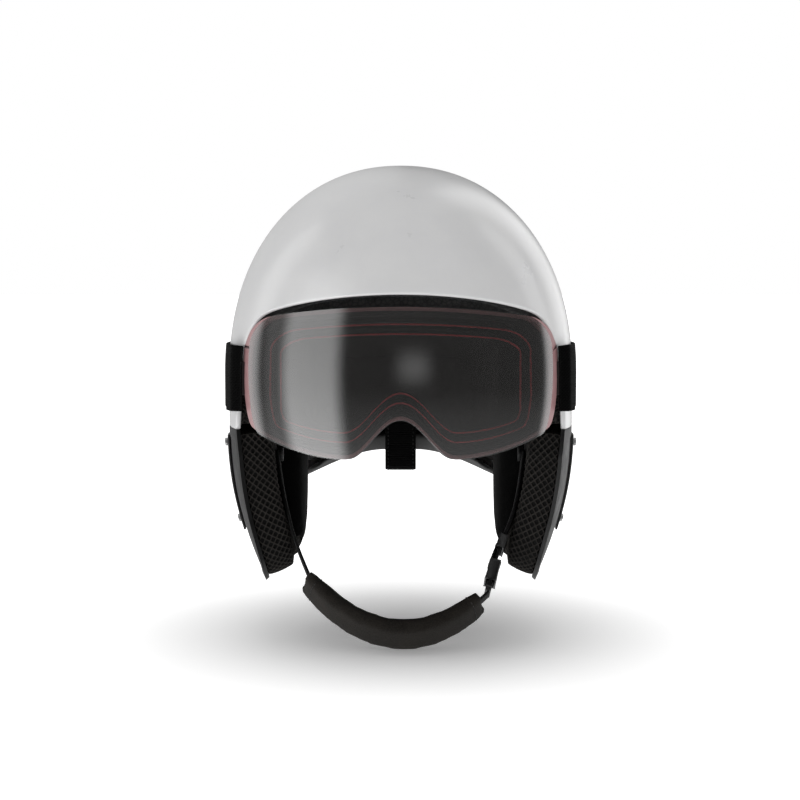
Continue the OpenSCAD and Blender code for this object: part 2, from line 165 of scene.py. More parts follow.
def drop_at(z):
    """Angle down from the crown at which the skin is at level z."""
    z = np.asarray(z, float)
    high = np.degrees(np.arccos(ramp((z - DOME_Z) / DOME_H) ** (DOME_N / 2)))
    return np.where(z > DOME_Z, high, 90 + np.degrees((DOME_Z - z) / DOME_H))


def side_in(z):
    """How far the sides draw in below the ear line, towards the lower end of the ears."""
    return SIDE_TUCK * (2 * ramp(z / EAR_BOTTOM / 2)) ** 2.15


def back_in(z):
    """How far the back draws in below the dome, towards the nape."""
    return BACK_TUCK * np.maximum((DOME_Z - z) / (DOME_Z - RIM_Z), 0) ** 1.6


def bare(az, drop):
    """Point of the skin itself at a bearing and an angle down from the crown."""
    az, drop = np.broadcast_arrays(np.asarray(az, float), np.asarray(drop, float))
    fall = np.radians(np.minimum(drop, 90))
    z = DOME_Z + DOME_H * np.where(drop < 90, np.cos(fall).clip(0) ** (2 / DOME_N), np.radians(90 - drop))
    share = np.sin(fall).clip(0) ** (2 / DOME_N)
    c, s = np.cos(np.radians(az)), np.sin(np.radians(az))
    k = 1 + CORNER * (2 * s * c) ** 2
    a = HALF_W * share - side_in(z)
    b = np.where(s < 0, FRONT * share, BACK * share - back_in(z))
    return np.stack([a * c * k, b * s * k, z], -1)


def outward(az, drop):
    """Direction square to the skin, away from the head."""
    across = bare(np.asarray(az) + 1, drop) - bare(np.asarray(az) - 1, drop)
    up = bare(az, np.asarray(drop) - 1) - bare(az, np.asarray(drop) + 1)
    return unit(np.cross(across, up))


def skin(az, drop, off=0.0):
    """Point at distance off outside the skin."""
    return bare(az, drop) + np.asarray(off, float)[..., None] * outward(az, drop)


def wall(az, z, off=0.0):
    """Point at distance off outside the skin, at level z."""
    return skin(az, drop_at(z), off)


def bearing(y, z):
    """Bearing of the left side's point that lies y behind the ear line, at level z."""
    y = np.asarray(y, float)
    b = np.where(y < 0, FRONT, BACK - back_in(z))
    first = np.arcsin(np.clip(y / b, -1, 1))
    return np.degrees(np.arcsin(np.clip(y / b / (1 + CORNER * np.sin(2 * first) ** 2), -1, 1)))


def hem(w):
    """Level of the shell's lower edge from the ears to the nape, w degrees from straight ahead."""
    return HEM_Z - HEM_DROP * ease((w - 126) / 11) + NAPE_RISE * ease((w - 130) / 44)


def edge(w):
    """Level of the shell's whole edge: the brim, the fall at the temples, then the hem."""
    brim = BRIM_Z - 17 * (w / 60) ** 2
    return np.where(w < TEMPLE, mix(brim, hem(TEMPLE), ramp((w - TEMPLE + 27) / 27) ** 5), hem(w))


# ---- Meshes ----

class Sketch:
    """Collects grids of points as quads, with texture coordinates in millimetres, for one welded mesh."""

    def __init__(self):
        self.points, self.faces, self.uvs, self.count = [], [], [], 0

    def grid(self, p, wrap=False, flip=False, loop=False):
        """p has shape (rows, columns, 3). wrap joins the last column to the first, loop the last row."""
        p = np.asarray(p, float)
        rows, cols = p.shape[:2]
        q = np.concatenate([p, p[:, :1]], 1) if wrap else p
        q = np.concatenate([q, q[:1]], 0) if loop else q
        middle = q[q.shape[0] // 2]
        u = along_path(middle)
        steps = np.linalg.norm(np.diff(q, axis=0), axis=2).mean(1)
        v = np.concatenate([[0], np.cumsum(steps)])
        for r in range(q.shape[0] - 1):
            for c in range(q.shape[1] - 1):
                corners = [(r, c), (r, c + 1), (r + 1, c + 1), (r + 1, c)]
                if flip:
                    corners.reverse()
                self.faces.append([self.count + (i % rows) * cols + j % cols for i, j in corners])
                self.uvs.append([(u[j], v[i]) for i, j in corners])
        self.points.append(p.reshape(-1, 3))
        self.count += rows * cols
        return self

    def cap(self, ring, flip=False):
        """Closes a ring of points with triangles to its middle."""
        ring = np.asarray(ring, float)
        n = len(ring)
        for i in range(n):
            f = [self.count + n, self.count + i, self.count + (i + 1) % n]
            self.faces.append(f[::-1] if flip else f)
            self.uvs.append([(0, 0)] * 3)
        self.points.append(np.vstack([ring, ring.mean(0)]))
        self.count += n + 1
        return self

    def box(self, low, high, place):
        """A box between two corners, moved by place."""
        xs, ys, zs = zip(low, high)
        p = place(np.array([[x, y, z] for z in zs for y in ys for x in xs], float))
        for f in ((0, 2, 3, 1), (4, 5, 7, 6), (0, 1, 5, 4), (2, 6, 7, 3), (0, 4, 6, 2), (1, 3, 7, 5)):
            self.faces.append([self.count + i for i in f])
            self.uvs.append([(p[i][0], p[i][2]) for i in f])
        self.points.append(p)
        self.count += 8
        return self

    def mesh(self, name):
        data = bpy.data.meshes.new(name)
        data.from_pydata((np.vstack(self.points) * MM).tolist(), [], self.faces)
        layer = data.uv_layers.new(name="UVMap")
        layer.data.foreach_set("uv", np.array([c for f in self.uvs for c in f], float).ravel())
        work = bmesh.new()
        work.from_mesh(data)
        bmesh.ops.remove_doubles(work, verts=work.verts, dist=1e-6)
        bmesh.ops.recalc_face_normals(work, faces=work.faces)
        work.to_mesh(data)
        work.free()
        data.shade_smooth()
        return data


def along_path(path):
    """Distance along a path at each of its points."""
    return np.concatenate([[0], np.cumsum(np.linalg.norm(np.diff(path, axis=0), axis=1))])


def points_at(path, at):
    """Points at the given distances along a path."""
    length = along_path(path)
    return np.stack([np.interp(at, length, path[:, i]) for i in range(path.shape[1])], -1)


def even_loop(path, count):
    """Evenly spaced points around a closed path, and its length."""
    closed = np.vstack([path, path[:1]])
    total = along_path(closed)[-1]
    return points_at(closed, np.linspace(0, total, count, endpoint=False)), total


def tube(rings):
    """Closed solid through a row of rings, with a flat cap at each end."""
    s = Sketch()
    add_tube(s, rings)
    return s


def add_tube(s, rings):
    s.grid(np.array(rings), wrap=True)
    s.cap(rings[0]).cap(rings[-1], flip=True)


def piece(sketch, name, body, material, stands_for=(), bevel=0.0, segments=2, subdivide=0, ride=True):
    """Makes the object, with rounded edges, and puts it on its body."""
    data = sketch if isinstance(sketch, bpy.types.Mesh) else sketch.mesh(name)
    obj = bpy.data.objects.new(name, data)
    bpy.context.scene.collection.objects.link(obj)
    data.materials.clear()
    data.materials.append(material)
    if subdivide:
        mod = obj.modifiers.new("round", "SUBSURF")
        mod.levels = mod.render_levels = subdivide
    if bevel:
        mod = obj.modifiers.new("edges", "BEVEL")
        mod.width = bevel * MM
        mod.segments = segments
        mod.limit_method = "ANGLE"
        mod.angle_limit = math.radians(40)
        mod.harden_normals = True
    if stands_for:
        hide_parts(*stands_for)
    if ride:
        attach(obj, body)
    return obj


def plate(outer, inner):
    """A closed sheet between two matching grids."""
    s = Sketch()
    s.grid(outer).grid(inner, flip=True)
    s.grid(np.stack([outer[0], inner[0]])).grid(np.stack([outer[-1], inner[-1]]))
    s.grid(np.stack([outer[:, 0], inner[:, 0]])).grid(np.stack([outer[:, -1], inner[:, -1]]))
    return s


def mirrored(p):
    return np.asarray(p) * np.array([-1, 1, 1])


def both_sides():
    """Names of the sides with what turns the left side's points over; left is +X, the wearer's left."""
    return (("left", lambda p: np.asarray(p)), ("right", mirrored))


# ---- Materials ----

class Nodes:
    """A short way to write a node material: each call makes a node and returns its first output."""

    def __init__(self, name):
        self.material = bpy.data.materials.new(name)
        self.material.use_nodes = True
        self.tree = self.material.node_tree
        self.surface = self.tree.nodes["Principled BSDF"]
        self.output = self.tree.nodes["Material Output"]

    def set(self, node, key, value):
        if isinstance(value, bpy.types.NodeSocket):
            self.tree.links.new(value, node.inputs[key])
        else:
            node.inputs[key].default_value = value

    def add(self, kind, output=0, inputs=(), **settings):
        node = self.tree.nodes.new("ShaderNode" + kind)
        for key, value in settings.items():
            setattr(node, key, value)
        for key, value in dict(inputs).items():
            self.set(node, key, value)
        return node.outputs[output]

    def uv(self):
        return self.add("UVMap")

    def place(self, size):
        """Object coordinates in units of size millimetres."""
        base = self.add("TexCoord", output=3)
        return self.add("Mapping", inputs={0: base, 3: (1 / (size * MM),) * 3})

    def noise(self, vector, detail=3, roughness=0.5):
        inputs = {"Vector": vector, "Scale": 1, "Detail": detail, "Roughness": roughness}
        return self.add("TexNoise", inputs=inputs)

    def cells(self, vector, feature="F1"):
        return self.add("TexVoronoi", inputs={"Vector": vector, "Scale": 1}, feature=feature)

    def math(self, operation, a, b=0.0):
        return self.add("Math", inputs={0: a, 1: b}, operation=operation)

    def ridges(self, value, pitch):
        """A wave from 0 at the grooves to 1 on the ridges, one ridge in each pitch."""
        return self.math("ABSOLUTE", self.math("SINE", self.math("MULTIPLY", value, math.pi / pitch)))

    def across_and_along(self):
        """The two texture coordinates, in millimetres."""
        parts = self.tree.nodes.new("ShaderNodeSeparateXYZ")
        self.set(parts, 0, self.uv())
        return parts.outputs[0], parts.outputs[1]

    def span(self, value, low, high, to_low=0.0, to_high=1.0):
        return self.add("MapRange", inputs={0: value, 1: low, 2: high, 3: to_low, 4: to_high})

    def blend(self, factor, a, b):
        node = self.tree.nodes.new("ShaderNodeMix")
        node.data_type = "RGBA"
        self.set(node, 0, factor)
        self.set(node, 6, a if isinstance(a, bpy.types.NodeSocket) else (*a, 1))
        self.set(node, 7, b if isinstance(b, bpy.types.NodeSocket) else (*b, 1))
        return node.outputs[2]

    def bump(self, height, depth, strength=1.0, under=None):
        """Bump of depth millimetres, on top of another bump."""
        inputs = {"Height": height, "Distance": depth * MM, "Strength": strength}
        if under is not None:
            inputs["Normal"] = under
        return self.add("Bump", inputs=inputs)

    def edges(self, amount=0.5):
        """1 on convex edges, where the colour is lightened for wear and a painted edge highlight."""
        return self.span(self.add("NewGeometry", output=7), 0.54, 0.62, 0, amount)

    def see_through(self, solid, tint):
        """Lets light through the surface; only its outer side takes part, so a sheet counts once."""
        outer_side = self.math("SUBTRACT", 1.0, self.add("NewGeometry", output=6))
        passed = self.blend(outer_side, (1, 1, 1), tint)
        both = self.tree.nodes.new("ShaderNodeMixShader")
        self.set(both, 0, self.math("MULTIPLY", outer_side, solid))
        self.set(both, 1, self.add("BsdfTransparent", inputs={0: passed}))
        self.set(both, 2, self.surface.outputs[0])
        self.tree.links.new(both.outputs[0], self.output.inputs[0])
        return self.material

    def finish(self, **inputs):
        for key, value in inputs.items():
            key = key.replace("_", " ")
            self.set(self.surface, key, value)
        return self.material


def grey(value, warm=0.0):
    return (value * (1 + warm), value, value * (1 - warm))


def white_shell():
    n = Nodes("white_shell")
    cloud = n.noise(n.place(26), 5, 0.6)
    fine = n.noise(n.place(3), 3)
    speck = n.noise(n.place(0.9), 2)
    tone = n.blend(n.span(cloud, 0.35, 0.65), (0.625, 0.625, 0.63), (0.655, 0.655, 0.655))
    tone = n.blend(n.span(fine, 0.3, 0.7, 0, 0.35), tone, (0.64, 0.64, 0.645))
    peel = n.bump(n.noise(n.place(5), 2), 0.05, 0.5, n.bump(speck, 0.01, 0.1))
    return n.finish(Base_Color=tone, Roughness=n.span(cloud, 0.3, 0.7, 0.27, 0.40), Normal=peel,
                    Coat_Weight=0.35, Coat_Roughness=n.span(fine, 0.3, 0.7, 0.10, 0.18),
                    Specular_IOR_Level=0.45)


def plastic(name, tone, rough, grain=0.35, depth=0.04, coat=0.0, wear_and_edge_highlight=0.35, shine=0.5):
    n = Nodes(name)
    pits = n.cells(n.place(grain))
    cloud = n.noise(n.place(9), 4)
    colour = n.blend(n.span(cloud, 0.3, 0.7), grey(tone * 0.8), grey(tone * 1.25))
    # Convex edges are painted lighter: partly wear, partly a painted highlight for light caught on the
    # rounded edges.
    colour = n.blend(n.edges(wear_and_edge_highlight), colour, grey(min(1, tone * 3 + 0.03)))
    return n.finish(Base_Color=colour, Roughness=n.span(cloud, 0.3, 0.7, rough - 0.06, rough + 0.08),
                    Normal=n.bump(pits, depth, 0.7), Coat_Weight=coat, Coat_Roughness=0.12,
                    Specular_IOR_Level=shine)


def steel():
    n = Nodes("steel")
    streak = n.noise(n.add("Mapping", inputs={0: n.place(1), 3: (0.3, 6, 6)}), 3)
    return n.finish(Base_Color=n.blend(streak, grey(0.42), grey(0.62)), Metallic=1.0,
                    Roughness=n.span(streak, 0.3, 0.7, 0.25, 0.45), Normal=n.bump(streak, 0.02, 0.4))


def woven(name, tone, across, along, rough=0.85, depth=0.25, shine=0.2):
    """Twill: threads across and along, in millimetres, that shift sideways row by row."""
    n = Nodes(name)
    x, y = n.across_and_along()
    diagonal = n.math("ADD", n.math("DIVIDE", x, along), n.math("DIVIDE", y, 2 * across))
    thread = n.ridges(y, across)
    over = n.ridges(diagonal, 1)
    height = n.math("MULTIPLY", n.math("POWER", thread, 0.6), n.math("POWER", over, 0.6))
    fuzz = n.noise(n.place(0.35), 3)
    cloud = n.noise(n.place(14), 4)
    # Painted light and shade: the thread crests are painted up to four times lighter than the tone, and the
    # grooves between threads darker.
    painted_crest_light = n.math("POWER", height, 3.0)
    colour = n.blend(painted_crest_light, grey(tone * 0.3), grey(tone * 4))
    colour = n.blend(n.span(cloud, 0.3, 0.7, 0, 0.3), colour, grey(tone * 1.8))
    return n.finish(Base_Color=colour, Roughness=n.span(fuzz, 0.2, 0.8, rough - 0.1, min(1.0, rough + 0.1)),
                    Normal=n.bump(height, depth, 0.9, n.bump(fuzz, 0.08, 0.5)),
                    Sheen_Weight=0.01, Sheen_Roughness=0.4, Specular_IOR_Level=shine)


def ribbed(name, tone, pitch, depth=0.35, shine=0.1):
    """Webbing with ribs across its length."""
    n = Nodes(name)
    x, y = n.across_and_along()
    rib = n.ridges(y, pitch)
    cord = n.ridges(x, 0.6)
    height = n.math("ADD", n.math("POWER", rib, 0.5), n.math("MULTIPLY", cord, 0.25))
    fuzz = n.noise(n.place(0.3), 3)
    # Painted light and shade: the ribs are painted lighter and the grooves between them darker.
    colour = n.blend(rib, grey(tone * 0.4), grey(tone * 1.5))
    return n.finish(Base_Color=colour, Roughness=n.span(fuzz, 0.2, 0.8, 0.7, 0.95),
                    Normal=n.bump(height, depth, 0.9), Sheen_Weight=0.01, Specular_IOR_Level=shine)


def knitted(name, tone, pitch, sheen, warm=0.0, depth=0.2, rough=0.9, shine=0.2):
    """Soft brushed knit: small loops seen as cells, with fuzz over them."""
    n = Nodes(name)
    loops = n.cells(n.place(pitch))
    fuzz = n.noise(n.place(0.4), 4, 0.7)
    cloud = n.noise(n.place(18), 4)
    # Painted light and shade: each loop is painted lighter at its raised middle and darker towards the gaps
    # between loops.
    colour = n.blend(n.span(loops, 0.1, 0.7), grey(tone * 1.3, warm), grey(tone * 0.6, warm))
    colour = n.blend(n.span(cloud, 0.35, 0.65, 0, 0.45), colour, grey(tone * 1.6, warm))
    return n.finish(Base_Color=colour, Roughness=n.span(fuzz, 0.2, 0.8, rough - 0.12, min(1.0, rough + 0.08)),
                    Normal=n.bump(loops, -depth, 0.6, n.bump(fuzz, 0.12, 0.6)), Sheen_Weight=sheen,
                    Sheen_Roughness=0.5, Specular_IOR_Level=shine)


def spacer_mesh():
    """Mesh fabric: the attribute hole, made with the shape, marks the holes between the threads, which are
    painted near-black as painted shade; in the shape they are only shallow dents.
    """
    n = Nodes("spacer_mesh")
    hole = n.add("Attribute", output=2, attribute_name="hole")
    fuzz = n.noise(n.place(0.45), 4, 0.7)
    cloud = n.noise(n.place(12), 3)
    thread = n.blend(n.span(cloud, 0.3, 0.7), grey(0.019, 0.10), grey(0.027, 0.10))
    # Painted shade: the holes are painted near-black in place of the shade inside them.
    colour = n.blend(n.span(hole, 0.2, 0.8), thread, grey(0.003, 0.05))
    strands = n.cells(n.place(0.55))
    return n.finish(Base_Color=colour, Roughness=n.span(fuzz, 0.2, 0.8, 0.75, 0.98),
                    Normal=n.bump(strands, -0.18, 0.7, n.bump(fuzz, 0.1, 0.5)), Sheen_Weight=0.02,
                    Sheen_Roughness=0.4, Specular_IOR_Level=0.2)


def foam_beads():
    n = Nodes("foam_beads")
    beads = n.cells(n.place(3.2))
    gaps = n.cells(n.place(3.2), "DISTANCE_TO_EDGE")
    cloud = n.noise(n.place(20), 3)
    colour = n.blend(n.span(gaps, 0.0, 0.12), grey(0.008), grey(0.035))
    colour = n.blend(n.span(cloud, 0.3, 0.7, 0, 0.4), colour, grey(0.05))
    return n.finish(Base_Color=colour, Roughness=n.span(beads, 0, 0.6, 0.55, 0.8),
                    Normal=n.bump(beads, -0.5, 0.6))


def rubber(name, colour_a, colour_b, rough=0.6):
    n = Nodes(name)
    cloud = n.noise(n.place(4), 4)
    pits = n.noise(n.place(0.5), 3)
    return n.finish(Base_Color=n.blend(cloud, colour_a, colour_b),
                    Roughness=n.span(pits, 0.3, 0.7, rough - 0.1, rough + 0.1),
                    Normal=n.bump(pits, 0.04, 0.5))


def smoke_lens():
    """Mirror-coated smoke lens: mostly a dark glossy surface, a little light passes."""
    n = Nodes("smoke_lens")
    haze = n.noise(n.place(30), 3)
    dust = n.noise(n.place(7), 2)
    n.finish(Base_Color=n.blend(haze, grey(0.018, 0.04), grey(0.028, 0.04)), Metallic=0.0,
             Roughness=n.span(dust, 0.3, 0.7, 0.10, 0.12), IOR=1.9, Coat_Weight=0.6, Coat_Roughness=0.06,
             Specular_IOR_Level=0.8)
    facing = n.add("LayerWeight", output=1, inputs={0: 0.35})
    return n.see_through(n.span(facing, 0, 1, 0.45, 1.0), (0.62, 0.59, 0.59))


def clear_lens():
    """Inner pane: clear, with a faint reflection."""
    n = Nodes("clear_lens")
    haze = n.noise(n.place(20), 2)
    n.finish(Base_Color=n.blend(haze, grey(0.05), grey(0.08)), Roughness=n.span(haze, 0.3, 0.7, 0.1, 0.2))
    return n.see_through(0.06, (0.8, 0.8, 0.8))


SHELL = white_shell()
EAR_PLASTIC = plastic("ear_plastic", 0.008, 0.5, grain=0.5, wear_and_edge_highlight=0.2, shine=0.25)
GRILLE = plastic("grille_plastic", 0.014, 0.36, coat=0.2)
BUCKLE = plastic("buckle_plastic", 0.012, 0.38, grain=0.3)
FRAME = plastic("frame_plastic", 0.010, 0.42, grain=0.25, wear_and_edge_highlight=0.2)
STEEL = steel()
# Near-black satin finish used for the strap hangers in place of bare steel, so they stay dark.
DARK_STEEL = plastic("dark_steel", 0.012, 0.4, grain=0.4, coat=0.1)
BINDING = rubber("binding_rubber", grey(0.008), grey(0.014), 0.7)
GASKET = rubber("red_seal", (0.33, 0.17, 0.175), (0.41, 0.24, 0.245), 0.4)
RED_LINE = rubber("red_line", (0.62, 0.06, 0.07), (0.75, 0.10, 0.11), 0.4)
BEADS = foam_beads()
LINER_CLOTH = knitted("liner_cloth", 0.006, pitch=1.4, sheen=0.02)
NAPE_CLOTH = knitted("nape_cloth", 0.022, pitch=1.6, sheen=0.06)
CUSHION_CLOTH = knitted("cushion_cloth", 0.0012, pitch=0.9, sheen=0.003, shine=0.08)
PAD_CLOTH = knitted("pad_cloth", 0.013, pitch=0.8, warm=0.16, sheen=0.015, shine=0.15)
FLOCK = knitted("face_flock", 0.009, pitch=0.6, sheen=0.04)
SPACER = spacer_mesh()
ELASTIC = woven("twill_elastic", 0.0011, across=1.0, along=2.0, depth=0.4, shine=0.06)
WEBBING = woven("webbing", 0.003, across=0.9, along=1.8, rough=0.7, shine=0.12)
KEEPER = ribbed("keeper_webbing", 0.0016, 1.5)
THREAD = woven("thread", 0.02, across=0.3, along=0.6, rough=0.6, depth=0.1)
LENS = smoke_lens()
INNER_LENS = clear_lens()


# ---- Shell, liner and rim ----

TOP_HOLE = 1.2                    # rows start this many degrees from the crown; a cap closes them


def turn(count):
    """Bearings around the helmet, close together where the edge falls steeply at the temples."""
    parts = ((0, 50, 26), (50, 70, 34), (70, 124, 26), (124, 140, 26), (140, 180, 18))
    steps = [np.linspace(a, b, max(2, int(n * count)), endpoint=False) for a, b, n in parts]
    half = np.concatenate(steps + [[180]])
    return np.concatenate([half - 90, 270 - half[-2:0:-1]])


def rolled_edge(az, low, radius_in, height, steps):
    """Rows that roll from the skin's edge inwards, by radius_in of depth and height past the edge."""
    drop = drop_at(low)
    line = skin(az, drop)
    n = outward(az, drop)
    along = unit(np.roll(line, -1, 0) - np.roll(line, 1, 0))
    down = unit(np.cross(n, along))
    down *= np.where(down[:, 2:3] > 0.2, -1, 1)
    rows = []
    for a in steps:
        turn_in = (1 - math.cos(math.radians(a))) * radius_in / 2
        rows.append(line - n * turn_in + down * math.sin(math.radians(a)) * height)
    return rows


def shell():
    """Outer shell with its edge rolled inwards."""
    az = turn(1)
    low = edge(from_front(az))
    edge_drop = drop_at(low)
    rows = 70
    lip = 3.2
    lip_end = edge_drop - SHELL_T
    outer = [skin(az, mix(TOP_HOLE, edge_drop, (r / rows) ** 0.92)) for r in range(rows + 1)]
    roll = rolled_edge(az, low, lip, 1.3, range(18, 181, 18))
    inside = [skin(az, edge_drop - 1.2, -lip + 0 * az), skin(az, lip_end, -SHELL_T + 0 * az)]
    inside += [skin(az, mix(TOP_HOLE, lip_end, t), -SHELL_T + 0 * az) for t in np.linspace(0.96, 0, 16)]
    s = Sketch()
    s.grid(np.stack(outer + roll + inside), wrap=True)
    s.cap(outer[0]).cap(inside[-1], flip=True)
    return piece(s, "shell", "helmet", SHELL, ["outer_shell"])


def liner():
    """Foam liner with rounded lower edge and five shallow air channels inside."""
    az = turn(0.6)
    w = from_front(az)
    edge_drop = drop_at(edge(np.maximum(0, w - 4)) + 5)
    rows = 40

    lift = 0.8
    across = ease((np.cos(np.radians(w * 5)) - 0.72) / 0.2)

    def layer(depth, channel):
        out = []
        for t in np.linspace(0, 1, rows + 1):
            groove = channel * across * ease(t / 0.15) * ease((1 - t) / 0.1)
            out.append(skin(az, mix(TOP_HOLE, edge_drop - lift, t), -depth + groove))
        return out
    outer, inner = layer(LINER_OUT, 0), layer(LINER_IN, 4)
    half = (LINER_IN - LINER_OUT) / 2
    bottom = []
    for a in np.radians(range(15, 180, 15)):
        depth = LINER_OUT + half * (1 - math.cos(a))
        bottom.append(skin(az, edge_drop - lift + 1.2 * math.sin(a), -depth + 0 * az))
    s = Sketch()
    s.grid(np.stack(outer + bottom + inner[::-1]), wrap=True)
    s.cap(outer[0]).cap(inner[0], flip=True)
    return piece(s, "liner", "helmet", BEADS, ["impact_liner"])


def soft_corners(step, power_across, power_along):
    """Points around a rectangle with rounded corners, 1 to each side; lower powers are squarer."""
    points = []
    for a in np.radians(range(0, 360, step)):
        c, sn = math.cos(a), math.sin(a)
        points.append((math.copysign(abs(c) ** power_across, c), math.copysign(abs(sn) ** power_along, sn)))
    return points


def rim():
    """Binding along the back of the neck: a rounded band that closes shell and liner from below."""
    first, last = 48, 132
    az = np.linspace(first, last, 110)
    z = hem(from_front(az)) - 0.9
    depth, width = 4.0, LINER_IN + 0.2
    ends = np.sqrt(ramp(np.minimum(az - first, last - az) / 2.5))
    loop = []
    for across, along in soft_corners(15, 0.35, 0.7):
        off = 0.2 - width / 2 + across * width / 2 * ends
        loop.append(wall(az, z - depth / 2 + along * depth / 2 * ends, off))
    s = Sketch()
    grid = np.stack(loop)
    s.grid(grid, loop=True)
    s.cap(grid[:, 0]).cap(grid[:, -1], flip=True)
    return piece(s, "rim_binding", "helmet", BINDING, ["rim_trim"])


def mesh_holes(along, across):
    """Spacer mesh: 1 in the middle of each diamond-shaped hole and 0 on the threads."""
    near = np.full(np.broadcast(along, across).shape, 9.0)
    for shift in (0.0, 0.5):
        da = np.abs(np.mod(along / 5.0 + shift, 1) - 0.5)
        db = np.abs(np.mod(across / 4.3 + shift, 1) - 0.5)
        near = np.minimum(near, (da + db) / 0.5 + 0.35 * np.maximum(da, db))
    return ease((0.98 - near) / 0.26)


def mark_holes(data, hole):
    """Stores the holes on the first vertices, which keep their grid's order after the weld."""
    values = np.zeros(len(data.vertices), np.float32)
    values[:hole.size] = hole.ravel()
    data.attributes.new("hole", "FLOAT", "POINT").data.foreach_set("value", values)
    return values


def temple_facings():
    """Mesh-covered front faces of the liner at the temples, above the ears."""
    u, z = np.meshgrid(np.linspace(0, 1, 60), np.linspace(47, 1.5, 110))
    depth = mix(3.1, FOAM_IN - 1.5, u)
    bulge = 0.65 * (1 - np.abs(2 * u - 1) ** 4)
    hole = mesh_holes(z, depth) * (u > 0.02) * (u < 0.98)
    front = wall(TEMPLE + 0.2 - 90 - bulge + hole * 0.35, z, -depth)
    back = wall(-19.5 + 0 * z, z, -depth)
    for side, flip in both_sides():
        data = plate(flip(front), flip(back)).mesh("temple_facing_" + side)
        mark_holes(data, hole)
        piece(data, "temple_facing_" + side, "helmet", SPACER)


# ---- Padding ----

PAD_EDGE = 0.6
COMFORT_T = 7
SIDE_PAD_T = 6
CLOTH_STEPS = 20


def pillow(az0, az1, z0, z1, thick, cols=60, rows=30, channels=0):
    """A pad on the liner: flat against it, crowned on the head's side, thin at its rounded outline."""
    u, v = np.meshgrid(np.linspace(-1, 1, cols), np.linspace(-1, 1, rows))
    # the outline's corners are pulled in
    az = mix(az0, az1, (u * np.sqrt(1 - 0.175 * v ** 4) + 1) / 2)
    z = mix(z0, z1, (v * np.sqrt(1 - 0.175 * u ** 4) + 1) / 2)
    crown = (1 - np.abs(u) ** 6) ** 0.5 * (1 - np.abs(v) ** 6) ** 0.5
    if channels:
        from_seam = np.abs(np.mod(u * channels / 2 + 0.5, 1) - 0.5)
        crown = crown * (1 - 0.45 * np.exp(-(from_seam / 0.06) ** 2))
    back = wall(az, z, -PAD_OUT + 0 * az)
    return plate(back, wall(az, z, -PAD_OUT - PAD_EDGE - (thick - PAD_EDGE) * crown))


def places(data, what="co"):
    """The places or normals of a mesh's vertices, as rows."""
    values = np.zeros(len(data.vertices) * 3)
    data.vertices.foreach_get(what, values)
    return values.reshape(-1, 3)


def inflate(objs, voxel, limit, pressure=4.0):
    """Swells closed soft pieces by cloth simulation: remesh, pressure, and movement kept under limit."""
    rest = {}
    for obj, size in zip(objs, voxel):
        mod = obj.modifiers.new("remesh", "REMESH")
        mod.mode = "VOXEL"
        mod.voxel_size = size * MM
        mod.use_smooth_shade = True
        bpy.context.view_layer.update()
        graph = bpy.context.evaluated_depsgraph_get()
        data = bpy.data.meshes.new_from_object(obj.evaluated_get(graph))
        obj.modifiers.clear()
        obj.data = data
        rest[obj.name] = places(data)
        cloth = obj.modifiers.new("cloth", "CLOTH").settings
        cloth.use_pressure = True
        cloth.uniform_pressure_force = pressure
        cloth.effector_weights.gravity = 0
        cloth.quality = 5
    scene = bpy.context.scene
    for step in range(CLOTH_STEPS):
        scene.frame_set(step + 1)
    graph = bpy.context.evaluated_depsgraph_get()
    results = {o.name: bpy.data.meshes.new_from_object(o.evaluated_get(graph)) for o in objs}
    for obj, most in zip(objs, limit):
        data = results[obj.name]
        obj.modifiers.clear()
        move = places(data) - rest[obj.name]
        far = np.linalg.norm(move, axis=1, keepdims=True)
        move *= np.minimum(1, most * MM / np.maximum(far, 1e-9))
        data.vertices.foreach_set("co", (rest[obj.name] + move).ravel())
        data.update()
        data.shade_smooth()
        obj.data = data
        mod = obj.modifiers.new("round", "SUBSURF")
        mod.levels = mod.render_levels = 1
    scene.frame_set(1)


def pads():
    """Comfort pads on the liner, with sewn channels at brow and nape and a sewn ring at the crown."""
    shapes = (("brow_cushion", pillow(-142, -38, 112, 88, COMFORT_T, channels=5), LINER_CLOTH, ["brow_pad"]),
              ("nape_cushion", pillow(50, 130, 40, -20, COMFORT_T, channels=3), NAPE_CLOTH, ["nape_pad"]),
              ("side_cushion_left", pillow(-8, 20, 84, 22, SIDE_PAD_T, 40, 40), LINER_CLOTH, ["side_pads"]),
              ("side_cushion_right", pillow(160, 188, 84, 22, SIDE_PAD_T, 40, 40), LINER_CLOTH, []))
    made = [piece(s, name, "helmet", cloth, nodes) for name, s, cloth, nodes in shapes]
    az = np.linspace(0, 360, 72, endpoint=False)
    reach = 38
    back, front = [], []
    for r in np.linspace(0.05, 1, 22):
        ring_seam = 1 - 0.4 * math.exp(-((r - 0.5) / 0.05) ** 2)
        thick = PAD_EDGE + (COMFORT_T - PAD_EDGE) * (1 - r ** 6) ** 0.5 * ring_seam
        back.append(skin(az, reach * r, -PAD_OUT + 0 * az))
        front.append(skin(az, reach * r, -PAD_OUT - thick + 0 * az))
    back, front = np.stack(back), np.stack(front)
    s = Sketch()
    s.grid(back, wrap=True).grid(front, wrap=True, flip=True).grid(np.stack([back[-1], front[-1]]), wrap=True)
    s.cap(back[0]).cap(front[0])
    made.append(piece(s, "crown_cushion", "helmet", LINER_CLOTH, ["crown_pad"]))
    return made


# ---- Ears ----

ROUND_Z = -66                     # the lower end is rounded below this level
FRONT_ROUND = 29
BACK_ROUND = 46
BACK_SLANT = 12


def ear_edges(inset, z):
    """Front and back edge of an ear layer at level z, above the rounded lower end."""
    front = EAR_FRONT + inset + 4 * ramp((z + 18) / 18)
    back = EAR_BACK - inset - BACK_SLANT * (z / ROUND_Z)
    return front, back


